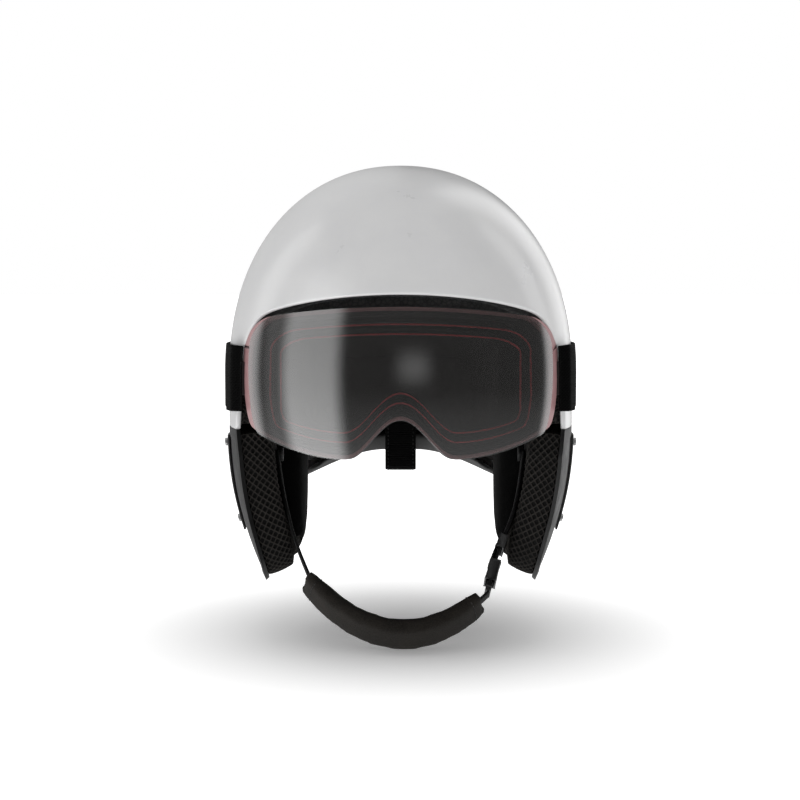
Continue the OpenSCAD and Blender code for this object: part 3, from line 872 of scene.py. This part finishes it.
def ear_grid(inset, top, off, rows_up, rows_down, cols, shift=0.0):
    """Grid of an ear layer; off is a number or a function of level and place across."""
    rows = []
    for z in mix(top, ROUND_Z, np.linspace(0, 1, rows_up)):
        rows.append((z, *ear_edges(inset, z)))
    for a in np.radians(np.linspace(0, 90, rows_down + 1)[1:]):
        away = 1 - math.cos(a)
        rows.append((mix(ROUND_Z, EAR_BOTTOM + inset, math.sin(a)), EAR_FRONT + inset + FRONT_ROUND * away,
                     EAR_BACK - inset - BACK_SLANT - BACK_ROUND * away))
    levels, front, back = np.array(rows).T[..., None]
    t, z = np.meshgrid(np.linspace(0, 1, cols), levels)
    depth = off(z, t) if callable(off) else off + 0 * z
    return wall(bearing(mix(front + shift, back, t), z), z, depth)


def ear_loop(inset, off, top, count):
    """Closed outline of an ear layer: down the front, along the bottom, up the back and along the top."""
    g = ear_grid(inset, top - inset, off, 40, 22, 40)
    return even_loop(np.concatenate([g[:, 0], g[-1, 1:], g[-2::-1, -1], g[0, -2:0:-1]]), count)


def foam_taper(z):
    """How much thinner the foam gets towards its lower end."""
    return 2 * ramp((z + 68) / -29) ** 2


def ear_foam(side, flip):
    """Foam block in spacer mesh: its wall has diamond-shaped dents between the threads, pressed 0.9 mm in,
    which the material paints near-black as painted shade.
    """
    count = 1000
    thick = FOAM_IN - FOAM_OUT
    top = EAR_TOP - 1.5
    outside = [(36, -FOAM_OUT), (18, -FOAM_OUT), (6, -FOAM_OUT)]
    rows = []
    for t in np.linspace(0, 1, 56):
        a = math.radians(180 * t)
        round_in = 1.6 * (1 - math.sin(a) ** 0.5) + 2.4 * ease((t - 0.76) / 0.24) ** 2
        share = 0.5 - 0.5 * math.cos(a) * (1 - 0.35 * math.sin(a))
        rows.append((0.9 + round_in, -FOAM_OUT - thick * share))
    inside = [(7, -FOAM_IN), (11, -FOAM_IN - 0.3)] + [(inset, -FOAM_IN - 0.4) for inset in (18, 27, 36)]

    def ring(inset, depth):
        share = (-depth - FOAM_OUT) / thick
        return ear_loop(inset, lambda z, t: depth + share * foam_taper(z), top, count)
    loops, lengths = zip(*[ring(*r) for r in outside + rows + inside])
    p = np.stack(loops)
    p[..., 0] = np.maximum(p[..., 0], CUSHION_X + 4.5)
    middle_row = 10
    along = np.linspace(0, lengths[middle_row], count, endpoint=False)
    across = np.zeros(len(p))
    across[1:] = np.cumsum(np.linalg.norm(np.diff(p, axis=0), axis=2).mean(1))
    on_wall = np.zeros(len(p))
    on_wall[len(outside) - 1:len(outside) + len(rows) + 2] = 1
    hole = mesh_holes(along[None], across[:, None]) * on_wall[:, None]
    data = tube(flip(p)).mesh("ear_block_" + side)
    values = mark_holes(data, hole)
    pressed = places(data) - places(data, "normal") * (values * 0.9 * MM)[:, None]
    data.vertices.foreach_set("co", pressed.ravel())
    data.update()
    return piece(data, "ear_block_" + side, "ear_" + side, SPACER, ["ear_foam_" + side])


def ear_cushion(side, flip):
    """Soft inner cushion behind the chin strap, with a flat face towards the head."""
    behind_strap = 43
    back = ear_grid(6, EAR_TOP - 9, -FOAM_IN - 1, 30, 16, 44, behind_strap)
    back[..., 0] = np.maximum(back[..., 0], CUSHION_X + 3.5)
    v, u = np.meshgrid(np.linspace(-1, 1, back.shape[0]), np.linspace(-1, 1, back.shape[1]), indexing="ij")
    crown = (1 - np.abs(u) ** 6) ** 0.45 * (1 - np.abs(v) ** 8) ** 0.45
    thick = back[..., 0] - CUSHION_X
    face = back - np.stack([thick * (0.2 + 0.8 * crown), 0 * thick, 0 * thick], -1)
    return piece(plate(flip(back), flip(face)), "ear_inner_cushion_" + side, "ear_" + side,
                 CUSHION_CLOTH, ["ear_cushion_" + side])


def from_edge(t, length):
    """Distance from the nearer end, at the share t of a length."""
    return np.minimum(t, 1 - t) * length


def ear_cover(side, flip):
    """Plastic ear shell with a raised border, and the ribbed grille over the sound port."""
    def relief(z, t):
        rim = np.minimum(from_edge(t, 120), np.minimum(EAR_TOP - z, z - EAR_BOTTOM))
        return -0.7 * ease((rim - 5) / 3)
    outer = ear_grid(0, EAR_TOP, relief, 60, 30, 90)
    inner = ear_grid(0.6, EAR_TOP, -SHELL_T, 60, 30, 90)
    piece(plate(flip(outer), flip(inner)), "ear_cover_" + side, "ear_" + side, EAR_PLASTIC,
          ["ear_shell_" + side], bevel=0.7, segments=3)
    u, v = np.meshgrid(np.linspace(0, 1, 60), np.linspace(0, 1, 110))
    z = mix(-8, -68, v)
    y = mix(-20 + 6 * v, 26 - 12 * v, u)
    inside = ease(np.minimum(from_edge(u, 46), from_edge(v, 60)) / 1.2 - 3)
    slant = np.mod((z + 0.45 * y) / 6.2, 1)
    groove = ease(1 - np.abs(slant - 0.5) / 0.2) * inside
    swell = 0.5 * (1 - (2 * u - 1) ** 2) * (1 - (2 * v - 1) ** 2)
    top = wall(bearing(y, z), z, 1.4 + swell - groove)
    under = wall(bearing(y, z), z, 0.2 + 0 * z)
    piece(plate(flip(top), flip(under)), "ear_port_grille_" + side, "ear_" + side, GRILLE,
          ["ear_grille_" + side], bevel=0.6, segments=3)


# ---- Straps ----

def hang_point(x, s, n=0.0):
    """From the plane the chin strap hangs in: x, distance s down from the pins, n forward and up."""
    lean = math.radians(LEAN)
    x, s, n = np.broadcast_arrays(np.asarray(x, float), np.asarray(s, float), np.asarray(n, float))
    y = HANG[1] - s * math.sin(lean) - n * math.cos(lean)
    z = HANG[2] - s * math.cos(lean) + n * math.sin(lean)
    return np.stack([x, y, z], -1)


def web_x(s, draw):
    """Sideways place of the webbing at distance s; draw is how far its lower part is pulled in."""
    p = hang_point(0, s)
    return wall(bearing(p[..., 1], p[..., 2]), p[..., 2], -WEB_OFF)[..., 0] - draw * ease((s - 34) / 26)


def pad_s(x):
    """How far below the pins the sleeve hangs."""
    return 113.5 - 0.0095 * (x - 2) ** 2


def strip(centre, side, normal, width, thick):
    """A flat strap: centre line points with its side and face directions, rounded at its long edges."""
    loop = [centre + side * x * width / 2 + normal * y * thick / 2 for x, y in soft_corners(20, 0.25, 0.84)]
    return tube(np.stack(loop, 1))


def resample(path, step):
    total = along_path(path)[-1]
    return points_at(path, np.linspace(0, total, max(8, int(total / step))))


def hanging_strip(path, width, thick):
    """Strap in the hanging plane along points (x, s)."""
    path = resample(np.asarray(path, float), 1.2)
    centre = hang_point(path[:, 0], path[:, 1])
    side = unit(hang_point(0, 0, 1) - hang_point(0, 0, 0))[None] * np.ones((len(path), 1))
    along = unit(np.gradient(centre, axis=0))
    return strip(centre, side, unit(np.cross(side, along)), width, thick)


def stitches(name, body, path, normal, pitch=2.6, length=1.7, radius=0.28):
    """A row of raised thread stitches along a path; normal points away from the cloth."""
    path = np.asarray(path, float)
    line = np.hstack([path, np.broadcast_to(normal, path.shape)])
    places_along = along_path(path)
    s = Sketch()
    for at in np.arange(pitch / 2, places_along[-1] - pitch / 2, pitch):
        def value(shift):
            return np.array([np.interp(at + shift, places_along, column) for column in line.T])
        ends = value(-length / 2)[:3], value(length / 2)[:3]
        n = value(0)[3:]
        along = unit(ends[1] - ends[0])
        n = unit(n - along * (n @ along))
        side = np.cross(along, n)
        rings = []
        for t, r in ((0, 0.25), (0.12, 0.8), (0.5, 1.0), (0.88, 0.8), (1, 0.25)):
            middle = mix(ends[0], ends[1], t) + n * radius * (1.1 * r - 0.3)
            rings.append([middle + radius * r * (side * math.cos(a) + n * math.sin(a))
                          for a in np.radians(range(0, 360, 60))])
        add_tube(s, rings)
    return piece(s, name, body, THREAD)


def seam(name, body, obj, path):
    """Stitches along a path, laid on the surface of a finished soft piece."""
    bpy.context.view_layer.update()
    hits = [obj.closest_point_on_mesh(Vector(p) * MM) for p in path]
    return stitches(name, body, np.array([h[1] for h in hits]) / MM, np.array([h[2] for h in hits]))


def chin_strap():
    """Webbing on each side, the end turned back behind the ladder lock, and the webbing in the sleeve."""
    left = np.linspace(0, 72, 40)
    right = np.linspace(0, 77, 40)
    turned_back = np.linspace(62.9, 71.5, 8)
    x = np.linspace(-57, 53, 50)
    strips = (("chin_webbing_left", "chin_left", web_x(left, LEFT_DRAW), left, WEB_W, ["webbing_left"]),
              ("chin_webbing_right", "chin_right", -web_x(right, RIGHT_DRAW), right, WEB_W,
               ["webbing_right"]),
              ("webbing_return_left", "chin_left", web_x(turned_back, LEFT_DRAW) - WEB_T - 0.15, turned_back,
               WEB_W - 0.6, []),
              ("sleeve_webbing", "pad", x, pad_s(x), WEB_W, ["pad_webbing"]))
    for name, body, across, down, width, nodes in strips:
        strap = hanging_strip(np.stack([across, down], -1), width, WEB_T)
        piece(strap, name, body, WEBBING, nodes)


def chin_sleeve():
    """Padded sleeve: a flattened tube along the strap, with a hem at each end."""
    x = np.linspace(-57.5, 48.5, 74)
    line = np.stack([x, pad_s(x)], -1)
    centre = hang_point(line[:, 0], line[:, 1])
    side = unit(hang_point(0, 0, 1) - hang_point(0, 0, 0))
    along = unit(np.gradient(centre, axis=0))
    up = unit(np.cross(np.broadcast_to(side, along.shape), along))
    up *= np.sign(up[:, 2:3])
    t = np.linspace(0, 1, len(x))
    end = from_edge(t, 118)
    twist = np.radians(11 + 4 * ease(end / 45))[:, None]
    turned = side * np.cos(twist) + up * np.sin(twist)
    up = up * np.cos(twist) - side * np.sin(twist)
    hem_fold = ease((end - 6.5) / 1.5) - ease((end - 5) / 1.2)
    fat = 0.82 + 0.18 * ease(end / 14) + 0.10 * hem_fold
    corner = np.sqrt(1 - (1 - ramp((end + 0.6) / 4.5)) ** 2)
    crease = 0.9 * np.exp(-((t - 0.86) / 0.018) ** 2) + 0.5 * np.exp(-((t - 0.80) / 0.014) ** 2)
    loop = []
    for a, (across, over) in zip(np.radians(range(0, 360, 10)), soft_corners(10, 0.34, 0.42)):
        w = across * PAD_W / 2 * (0.72 + 0.28 * corner)
        h = over * PAD_T / 2 * fat * (0.6 + 0.4 * corner) + crease * 0.8 * max(0.0, -math.sin(a))
        loop.append(centre + turned * w[:, None] + up * h[:, None])
    grid = np.stack(loop, 1)
    return piece(tube(grid), "chin_sleeve", "pad", PAD_CLOTH, ["chin_pad"]), grid


def on_strap(x, s, tilt):
    """Places a fitting at (x, s): its own x faces outwards, its y forward and its z up the strap."""
    def place(p):
        across = p[:, 0] * math.cos(tilt) + p[:, 2] * math.sin(tilt)
        down = -p[:, 2] * math.cos(tilt) + p[:, 0] * math.sin(tilt)
        return hang_point(x + across, s + down, p[:, 1])
    return place


def fitting(name, body, node, place, boxes, bevel=0.5):
    """A plastic fitting from boxes, each given by its two corners."""
    s = Sketch()
    for low, high in boxes:
        s.box(low, high, place)
    piece(s, name, body, BUCKLE, [node], bevel=bevel, segments=3)


def buckle():
    """Side buckle: an open-ended box on the left webbing, and on the sleeve a tongue with a loop."""
    place = on_strap(float(web_x(67, LEFT_DRAW)) - 0.5, 69.5, math.radians(15))
    fitting("buckle_socket_body", "chin_left", "buckle_socket", place, [
        ((-3.4, -12, -13), (-2.5, 12, -1.6)),
        ((2.5, -12, -13), (3.4, 12, -1.6)),
        ((-3.4, -12, -13), (3.4, -10, -1.6)),
        ((-3.4, 10, -13), (3.4, 12, -1.6)),
        ((-3.4, -12, -2.2), (3.4, 12, 0))])
    fitting("buckle_prong_body", "pad", "buckle_prong", place, [
        ((-0.9, -7.8, -15), (0.9, 7.8, -7.2)),
        ((-1.8, -11, -19.4), (1.8, 11, -17.2)),
        ((-1.8, -11, -16.6), (1.8, 11, -14.6)),
        ((-1.8, -11, -19.4), (1.8, -8.6, -14.6)),
        ((-1.8, 8.6, -19.4), (1.8, 11, -14.6))])


def ladder():
    """Ladder lock: two frames of three bars, joined at their sides around the webbing."""
    low, middle, high = [float(web_x(PIN_TO_LOCK + shift, LEFT_DRAW)) for shift in (4, 0, -8)]
    wide = WEB_W / 2 + 0.6
    edge_y = wide + 1.8
    boxes = []
    for z in (-4, -1.1, 1.8):
        boxes += [((-2.5, -edge_y, z), (-1.5, edge_y, z + 2.2)), ((1.5, -edge_y, z), (2.5, edge_y, z + 2.2))]
    boxes += [((-2.5, -edge_y, -4), (2.5, -wide, 4)), ((-2.5, wide, -4), (2.5, edge_y, 4))]
    place = on_strap(middle, PIN_TO_LOCK, math.atan2(high - low, 12))
    fitting("ladder_lock_body", "lock", "ladder_lock", place, boxes, bevel=0.4)


# ---- Goggles ----

def round_off(x, start, end, height):
    """A rounded corner of the outline: how far it falls between start and end."""
    t = ramp((x - start) / (end - start))
    return height * (1 - np.sqrt(np.maximum(0, 1 - t * t)))


def upper(x, dx, dz):
    """Upper edge of the lens at distance x from the middle, drawn in by dx and dz."""
    return LENS_TOP - dz - 7.5 * (x / 90) ** 2 - round_off(x, 74 - dx, LENS_HALF - dx, 16 - (dx + dz) / 4)


def lower(x, dx, dz):
    """Lower edge of the lens: the nose arch, a slow rise, and a steep rise at the end."""
    nose = 0.5 + 0.5 * np.cos(np.pi * np.minimum(x, NOSE_HALF) / NOSE_HALF)
    rise = 7 * (np.maximum(x - NOSE_HALF, 0) / 40) ** 2
    end = (40 - dx - dz) * ramp((x + dx - 70) / (LENS_HALF - 70)) ** 21
    return LENS_LOW + dz + (NOSE_Z - LENS_LOW) * nose + np.where(x < NOSE_HALF, 0, rise + end)


def on_lens(t, z, off):
    """Points off the lens's outer face at angle t and height z; the lens is a little barrel-shaped."""
    r = LENS_R - (z - LENS_MID) ** 2 / 400 + off
    return np.stack([r * np.sin(t), LENS_Y - r * np.cos(t), z + 0 * r], -1)


def lens_columns(dx, count):
    """Angles across the lens, closer together at its ends and over the nose."""
    u = np.linspace(-90, 90, count)
    u = u - 7 * np.sin(np.radians(4 * u)) * np.exp(-(u / 45) ** 2)
    return np.arcsin((LENS_HALF - dx) / LENS_R) * np.sin(np.radians(u))


def lens_edges(dx, dz, count):
    """Angles across the lens with the heights of its upper and lower edge."""
    t = lens_columns(dx, count)
    x = np.minimum(np.abs(LENS_R * np.sin(t)), LENS_HALF - dx)
    return t, upper(x, dx, dz), lower(x, dx, dz)


def outline(dx, dz, off):
    """Evenly spaced points around the lens, drawn in by dx and dz."""
    t, high, low = lens_edges(dx, dz, 400)
    return even_loop(np.concatenate([on_lens(t, high, off), on_lens(t, low, off)[::-1]]), 360)[0]


def lens_plate(dx, dz, off, thick, cols=150, rows=44):
    """A curved pane inside the lens outline."""
    t, high, low = lens_edges(dx, dz, cols)
    z = mix(high, low, np.linspace(0, 1, rows)[:, None])
    return plate(on_lens(t, z, off), on_lens(t, z, off - thick))


def hoop(profile):
    """A ring that follows the lens outline; profile lists (dx, dz, off) around its section."""
    s = Sketch()
    s.grid(np.stack([outline(*point) for point in profile]), wrap=True, loop=True)
    return s


def goggles():
    """Both panes, the seal with its two lines, the frame and the face foam."""
    piece(lens_plate(0, 0, 0, 1.3), "lens", "lens", LENS, ["goggle_lens"], bevel=0.5, segments=3)
    pane = lens_plate(6.5, 6.5, -3.6, 0.9, 110, 30)
    piece(pane, "inner_pane", "lens", INNER_LENS, ["inner_lens"])
    seal = [(-5.6, 0.3, -2.0), (-5.6, 0.3, -3.4), (1.6, 2.4, -3.4), (1.6, 2.4, -1.9)]
    piece(hoop(seal), "lens_seal", "lens", GASKET, ["lens_gasket"], bevel=0.4)
    for name, in_x, in_z in (("seal_line_outer", 12.5, 10), ("seal_line_inner", 19, 15.5)):
        thread = [(in_x + 0.5 * math.cos(a), in_z + 0.5 * math.cos(a), -2.2 + 0.5 * math.sin(a))
                  for a in np.radians(range(0, 360, 45))]
        piece(hoop(thread), name, "lens", RED_LINE)
    outside = [(-2.6, -0.2, -4.4), (-2.9, -0.3, -5.4), (-2.4, 0.3, -8), (-0.8, 2.2, -11.6), (0.4, 3.4, -12.8)]
    back_face = [(2, 4.4, -13.1), (8, 8.4, -13.1)]
    inside = [(9.2, 9.2, -12.4), (9.4, 9.4, -10), (8.6, 8.6, -8.9), (6, 6, -8), (5.4, 5.4, -7),
              (5.2, 5.2, -4.6)]
    front_face = [(4.6, 4.6, -3.9), (-1.4, 0.4, -3.8)]
    piece(hoop(outside + back_face + inside + front_face), "goggle_frame_body", "goggles", FRAME,
          ["goggle_frame"])
    outside = [(2.4, 4.4, -13.5), (2, 4.2, -15.5), (2.2, 4.4, -20), (3.2, 5, -25.5), (5, 6.4, -27.2)]
    inside = [(10, 10, -27.8), (13.8, 13.8, -26.8), (15, 15, -24), (14, 14, -19), (12.4, 12.4, -14.5),
              (11.6, 11.6, -13.5)]
    piece(hoop(outside + inside), "face_padding", "goggles", FLOCK, ["face_foam"], subdivide=1)


def outriggers():
    """Arms from the frame to the elastic, each with the upright bar that the elastic folds over."""
    low, high = [corner[2] for corner in box_mm("outrigger_left")]
    outside = [(86.9, -61), (95, -65), (98.2, -62.4), (100.6, -59.5), (102.3, -56), (103.2, -53)]
    inside = [(100.9, -52.4), (100.4, -55), (99.4, -57), (98.2, -59.3), (96.5, -60.6), (92, -60.9)]
    arm = outside + inside
    arm_levels = (low + high) / 2 + np.linspace(-10, 10, 25)
    bar = [(102.2 + 1.4 * math.cos(a), -54 + 1.4 * math.sin(a)) for a in np.radians(range(0, 360, 20))]
    for side, flip in both_sides():
        s = Sketch()
        for section, levels in ((arm, arm_levels), (bar, np.linspace(low, high, 12))):
            add_tube(s, [flip(np.array([(x, y, z) for x, y in section])) for z in levels])
        piece(s, "strap_arm_" + side, "goggles", FRAME, ["outrigger_" + side], bevel=0.5)


def elastic():
    """Elastic strap around the shell; each end folds over the bar of a goggle arm."""
    az = np.linspace(-31, 211, 460)
    past_end = np.maximum(-22 - az, az - 202)
    fold = 4.0 * ease(past_end / 2.5) * ease((9.5 - past_end) / 3)
    tuck = 1.6 * ease((past_end - 7) / 2)
    z_rows = np.linspace(ELASTIC_HIGH, ELASTIC_LOW, 16)
    outer = np.stack([wall(az, z + 0 * az, 2.6 + fold - tuck) for z in z_rows])
    inner = np.stack([wall(az, z + 0 * az, 0.6 + 0 * az) for z in z_rows])
    obj = piece(plate(outer, inner), "goggle_elastic", "helmet", ELASTIC, ["goggle_strap"],
                ride=False)
    data = obj.data
    work = bmesh.new()
    work.from_mesh(data)
    sharp = [e for e in work.edges if len(e.link_faces) == 2 and e.calc_face_angle() > math.radians(50)]
    bmesh.ops.bevel(work, geom=sharp, offset=0.7 * MM, segments=3, affect="EDGES", profile=0.6)
    work.to_mesh(data)
    work.free()
    data.shade_smooth()
    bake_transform(obj)


def sliders():
    """Three-bar sliders on the elastic."""
    half = (ELASTIC_HIGH - ELASTIC_LOW) / 2 + 2.6
    for side, flip in both_sides():
        s = Sketch()

        def slab(az, levels, inner, outer):
            a, z = np.meshgrid(az, levels)
            part = plate(flip(wall(a, z, outer + 0 * a)), flip(wall(a, z, inner + 0 * a)))
            s.faces += [[i + s.count for i in f] for f in part.faces]
            s.uvs += part.uvs
            s.points += part.points
            s.count += part.count
        upright = np.linspace(ELASTIC_Z + half, ELASTIC_Z - half, 24)
        for bar in (36.6, 40, 43.4):
            slab(bar + np.linspace(-0.65, 0.65, 3), upright, 3.2, 5.1)
        for sign in (-1, 1):
            end = ELASTIC_Z + sign * (half - 1.2)
            slab(np.linspace(36, 44, 12), end + np.linspace(1.3, -1.3, 3), 3.0, 5.3)
        piece(s, "elastic_slider_" + side, "slider_" + side, BUCKLE,
              ["strap_slider_" + side], bevel=0.45, segments=3)


def keeper():
    """Webbing keeper at the back: the inner leg folds under the rim, the flap closes over the elastic."""
    flap_off, thick = 4.4, 1.8
    width = box_mm("keeper_flap")[1][0] * 2
    low = box_mm("keeper_tab")[0][2]
    y_in = box_mm("keeper_tab")[0][1] + thick / 2
    fold_end = box_mm("keeper_tab")[1][1]
    z_fold = low + thick / 2
    turn_r = 2.6
    arc = [[y_in + turn_r * (1 - math.cos(a)), z_fold + turn_r * (1 - math.sin(a))]
           for a in np.radians(range(0, 91, 15))]
    tab = resample(np.array([[y_in, -6.0], [y_in, -20.0]] + arc + [[fold_end, z_fold]]), 0.8)
    z = np.linspace(-36.5, 63, 90)
    flap = np.stack([bare(90 + 0 * z, drop_at(z))[:, 1] + flap_off, z], -1)
    for name, path, body, node in (("keeper_inner_leg", tab, "helmet", "keeper_tab"),
                                   ("keeper_outer_flap", flap, "keeper", "keeper_flap")):
        centre = np.column_stack([np.zeros(len(path)), path])
        side = np.tile([1.0, 0, 0], (len(path), 1))
        normal = unit(np.cross(unit(np.gradient(centre, axis=0)), side))
        piece(strip(centre, side, normal, width, thick), name, body, KEEPER, [node])
        face = centre + normal * thick / 2
        for sign, edge_name in ((-1, "right"), (1, "left")):
            stitches(name + "_seam_" + edge_name, body, face + side * sign * (width / 2 - 2), normal)
    press_stud()


def press_stud():
    """Cap of the press stud: a dished button with a short tube behind it."""
    low, high = box_mm("snap_cap")
    middle = (low + high) / 2
    r = (high[0] - low[0]) / 2
    button = ((0.02, 1.0), (0.45, 0.98), (0.7, 0.82), (0.78, 0.86), (0.92, 0.8), (1.0, 0.62), (1.0, 0.42))
    behind = ((0.64, 0.38), (0.62, 0.0), (0.5, 0.0), (0.5, 0.3), (0.02, 0.3))
    rings = []
    for radius, t in button + behind:
        y = mix(low[1], high[1], t)
        rings.append([[middle[0] + r * radius * math.cos(a), y, middle[2] + r * radius * math.sin(a)]
                      for a in np.radians(range(0, 360, 10))])
    piece(tube(rings), "press_stud_cap", "keeper", BUCKLE, ["snap_cap"])


# ---- Build ----

shell()
liner()
rim()
temple_facings()
soft_parts = pads()
for side_name, turn_over in both_sides():
    ear_foam(side_name, turn_over)
    soft_parts.append(ear_cushion(side_name, turn_over))
    ear_cover(side_name, turn_over)
chin_strap()
sleeve, sleeve_grid = chin_sleeve()
soft_parts.append(sleeve)
buckle()
ladder()
goggles()
outriggers()
elastic()
sliders()
keeper()
cushions = len(soft_parts) - 1
inflate(soft_parts, [4] * cushions + [3], [1.6] * cushions + [1.0])
for row, place_name in ((4, "right"), (-5, "left")):
    seam("sleeve_hem_" + place_name, "pad", sleeve, np.vstack([sleeve_grid[row], sleeve_grid[row][:1]]))

for node, material in (("strap_hangers", DARK_STEEL), ("snap_stud", STEEL), ("ear_screws_left", STEEL),
                       ("ear_screws_right", STEEL)):
    obj = frame["nodes"][node]
    obj.data.materials.clear()
    obj.data.materials.append(material)


# ---- Floor, light and camera ----

FLOOR_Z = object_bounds()[0][2] - 0.001
CAMERA_TILT = math.radians(4)
CAMERA_FAR = 1.059
AIM = Vector((-0.0004, 0, 0.0126))
FLOOR_GLOW = 0.05
FADE_NEAR = 0.10
FADE_FAR = 0.36


def floor():
    """Pale floor that runs into the white backdrop: its own glow fills up to white away from the object."""
    n = Nodes("floor")
    grain = n.noise(n.place(40), 3)
    n.finish(Base_Color=n.blend(grain, grey(0.88), grey(0.90)), Roughness=0.9, Specular_IOR_Level=0.05)
    away = n.add("VectorMath", output=1, inputs={0: n.add("TexCoord", output=3)}, operation="LENGTH")
    glow = n.span(away, FADE_NEAR, FADE_FAR, FLOOR_GLOW, 1.0)
    n.set(n.surface, "Emission Color", (1, 1, 1, 1))
    n.set(n.surface, "Emission Strength", glow)
    data = bpy.data.meshes.new("floor")
    far = 30
    corners = ((-far, -far), (far, -far), (far, far), (-far, far))
    data.from_pydata([(x, y, FLOOR_Z) for x, y in corners], [], [(0, 1, 2, 3)])
    data.materials.append(n.material)
    obj = bpy.data.objects.new("floor", data)
    bpy.context.scene.collection.objects.link(obj)
    obj.visible_glossy = False


def overhead_light():
    """A square light above, out of sight and without highlights."""
    data = bpy.data.lights.new("overhead", "AREA")
    data.shape = "RECTANGLE"
    data.size = data.size_y = 0.8
    data.energy = 4
    obj = bpy.data.objects.new("overhead", data)
    bpy.context.scene.collection.objects.link(obj)
    obj.location = (0, -0.1, 1.2)
    obj.rotation_euler = (-obj.location).to_track_quat("-Z", "Y").to_euler()
    obj.visible_camera = False
    obj.visible_glossy = False


def studio():
    """Even white surroundings for light; what shiny surfaces reflect is a darker room with a few panels."""
    world = bpy.data.worlds.new("studio")
    bpy.context.scene.world = world
    world.use_nodes = True
    tree = world.node_tree
    tree.nodes.clear()

    def add(kind, **inputs):
        node = tree.nodes.new("ShaderNode" + kind)
        for key, value in inputs.items():
            key = int(key[1:]) if key[0] == "i" and key[1:].isdigit() else key
            if isinstance(value, bpy.types.NodeSocket):
                tree.links.new(value, node.inputs[key])
            else:
                node.inputs[key].default_value = value
        return node

    def sums(operation, a, b=0.0):
        node = add("Math", i0=a, i1=b)
        node.operation = operation
        return node.outputs[0]

    direction = add("TexCoord").outputs[0]
    parts = add("SeparateXYZ", i0=direction)
    x, y, z = parts.outputs
    bearing_out = sums("ARCTAN2", x, sums("MULTIPLY", y, -1.0))
    rise = sums("ARCSINE", z)

    def window(value, low, high, soft_edge):
        up = add("MapRange", i0=value, i1=low - soft_edge, i2=low + soft_edge)
        down = add("MapRange", i0=value, i1=high - soft_edge, i2=high + soft_edge)
        up.interpolation_type = down.interpolation_type = "SMOOTHSTEP"
        return sums("MULTIPLY", up.outputs[0], sums("SUBTRACT", 1.0, down.outputs[0]))

    def panel(az0, az1, el0, el1, soft_edge, strength, downward=1.0):
        """downward is how much stronger the panel is at its foot than at eye level."""
        shape = sums("MULTIPLY", window(bearing_out, math.radians(az0), math.radians(az1), soft_edge),
                     window(rise, math.radians(el0), math.radians(el1), soft_edge))
        gain = add("MapRange", i0=rise, i1=0.2, i2=-0.5, i3=strength, i4=strength * downward).outputs[0]
        return sums("MULTIPLY", shape, gain)

    low = sums("MULTIPLY", add("MapRange", i0=rise, i1=-0.1, i2=-0.7).outputs[0], 0.6)
    high = sums("MULTIPLY", add("MapRange", i0=rise, i1=0.25, i2=1.2).outputs[0], 0.5)
    total = sums("ADD", 0.10, sums("ADD", low, high))
    # bearings from straight ahead, positive to +X, then heights, edge softness and strength
    panels = ((-80, -40, -75, 40, 0.11, 2.3, 1.5),
              (-125, -104, -60, 50, 0.08, 1.6),
              (107, 125, -60, 50, 0.06, 1.6),
              (-1, 17, 0, 5, 0.13, 1.5),
              (-98, -80, -60, 40, 0.1, 0.4),
              (22, 60, 42, 64, 0.15, 0.45),
              (135, 160, -20, 60, 0.12, 1.6),
              (-180, -125, -60, 60, 0.2, 0.4))
    for shape in panels:
        total = sums("ADD", total, panel(*shape))
    seen = add("Background", i0=(1, 1, 1, 1), i1=1.0)
    # soft daylight from above and from the left
    upwards = sums("ADD", sums("MULTIPLY", y, 0.05), sums("MULTIPLY", z, 0.86))
    aside = sums("ADD", sums("MULTIPLY", x, -0.5), upwards)
    daylight = add("MapRange", i0=aside, i1=-0.2, i2=1.0, i3=0.13, i4=0.70).outputs[0]
    even = add("Background", i0=(1, 1, 1, 1), i1=daylight)
    shine = add("Background", i0=(1, 1, 1, 1), i1=total)
    path = add("LightPath")
    first = add("MixShader", i0=path.outputs[3], i1=even.outputs[0], i2=shine.outputs[0])
    both = add("MixShader", i0=path.outputs[0], i1=first.outputs[0], i2=seen.outputs[0])
    out = tree.nodes.new("ShaderNodeOutputWorld")
    tree.links.new(both.outputs[0], out.inputs[0])


def camera():
    """A long lens, looking a little down from in front."""
    data = bpy.data.cameras.new("camera")
    data.lens = 75
    data.sensor_width = 36
    obj = bpy.data.objects.new("camera", data)
    bpy.context.scene.collection.objects.link(obj)
    back = Vector((0, -math.cos(CAMERA_TILT), math.sin(CAMERA_TILT)))
    obj.location = AIM + back * CAMERA_FAR
    obj.rotation_euler = (-back).to_track_quat("-Z", "Y").to_euler()
    bpy.context.scene.camera = obj


floor()
studio()
overhead_light()
camera()
bpy.context.scene.view_settings.view_transform = "Standard"
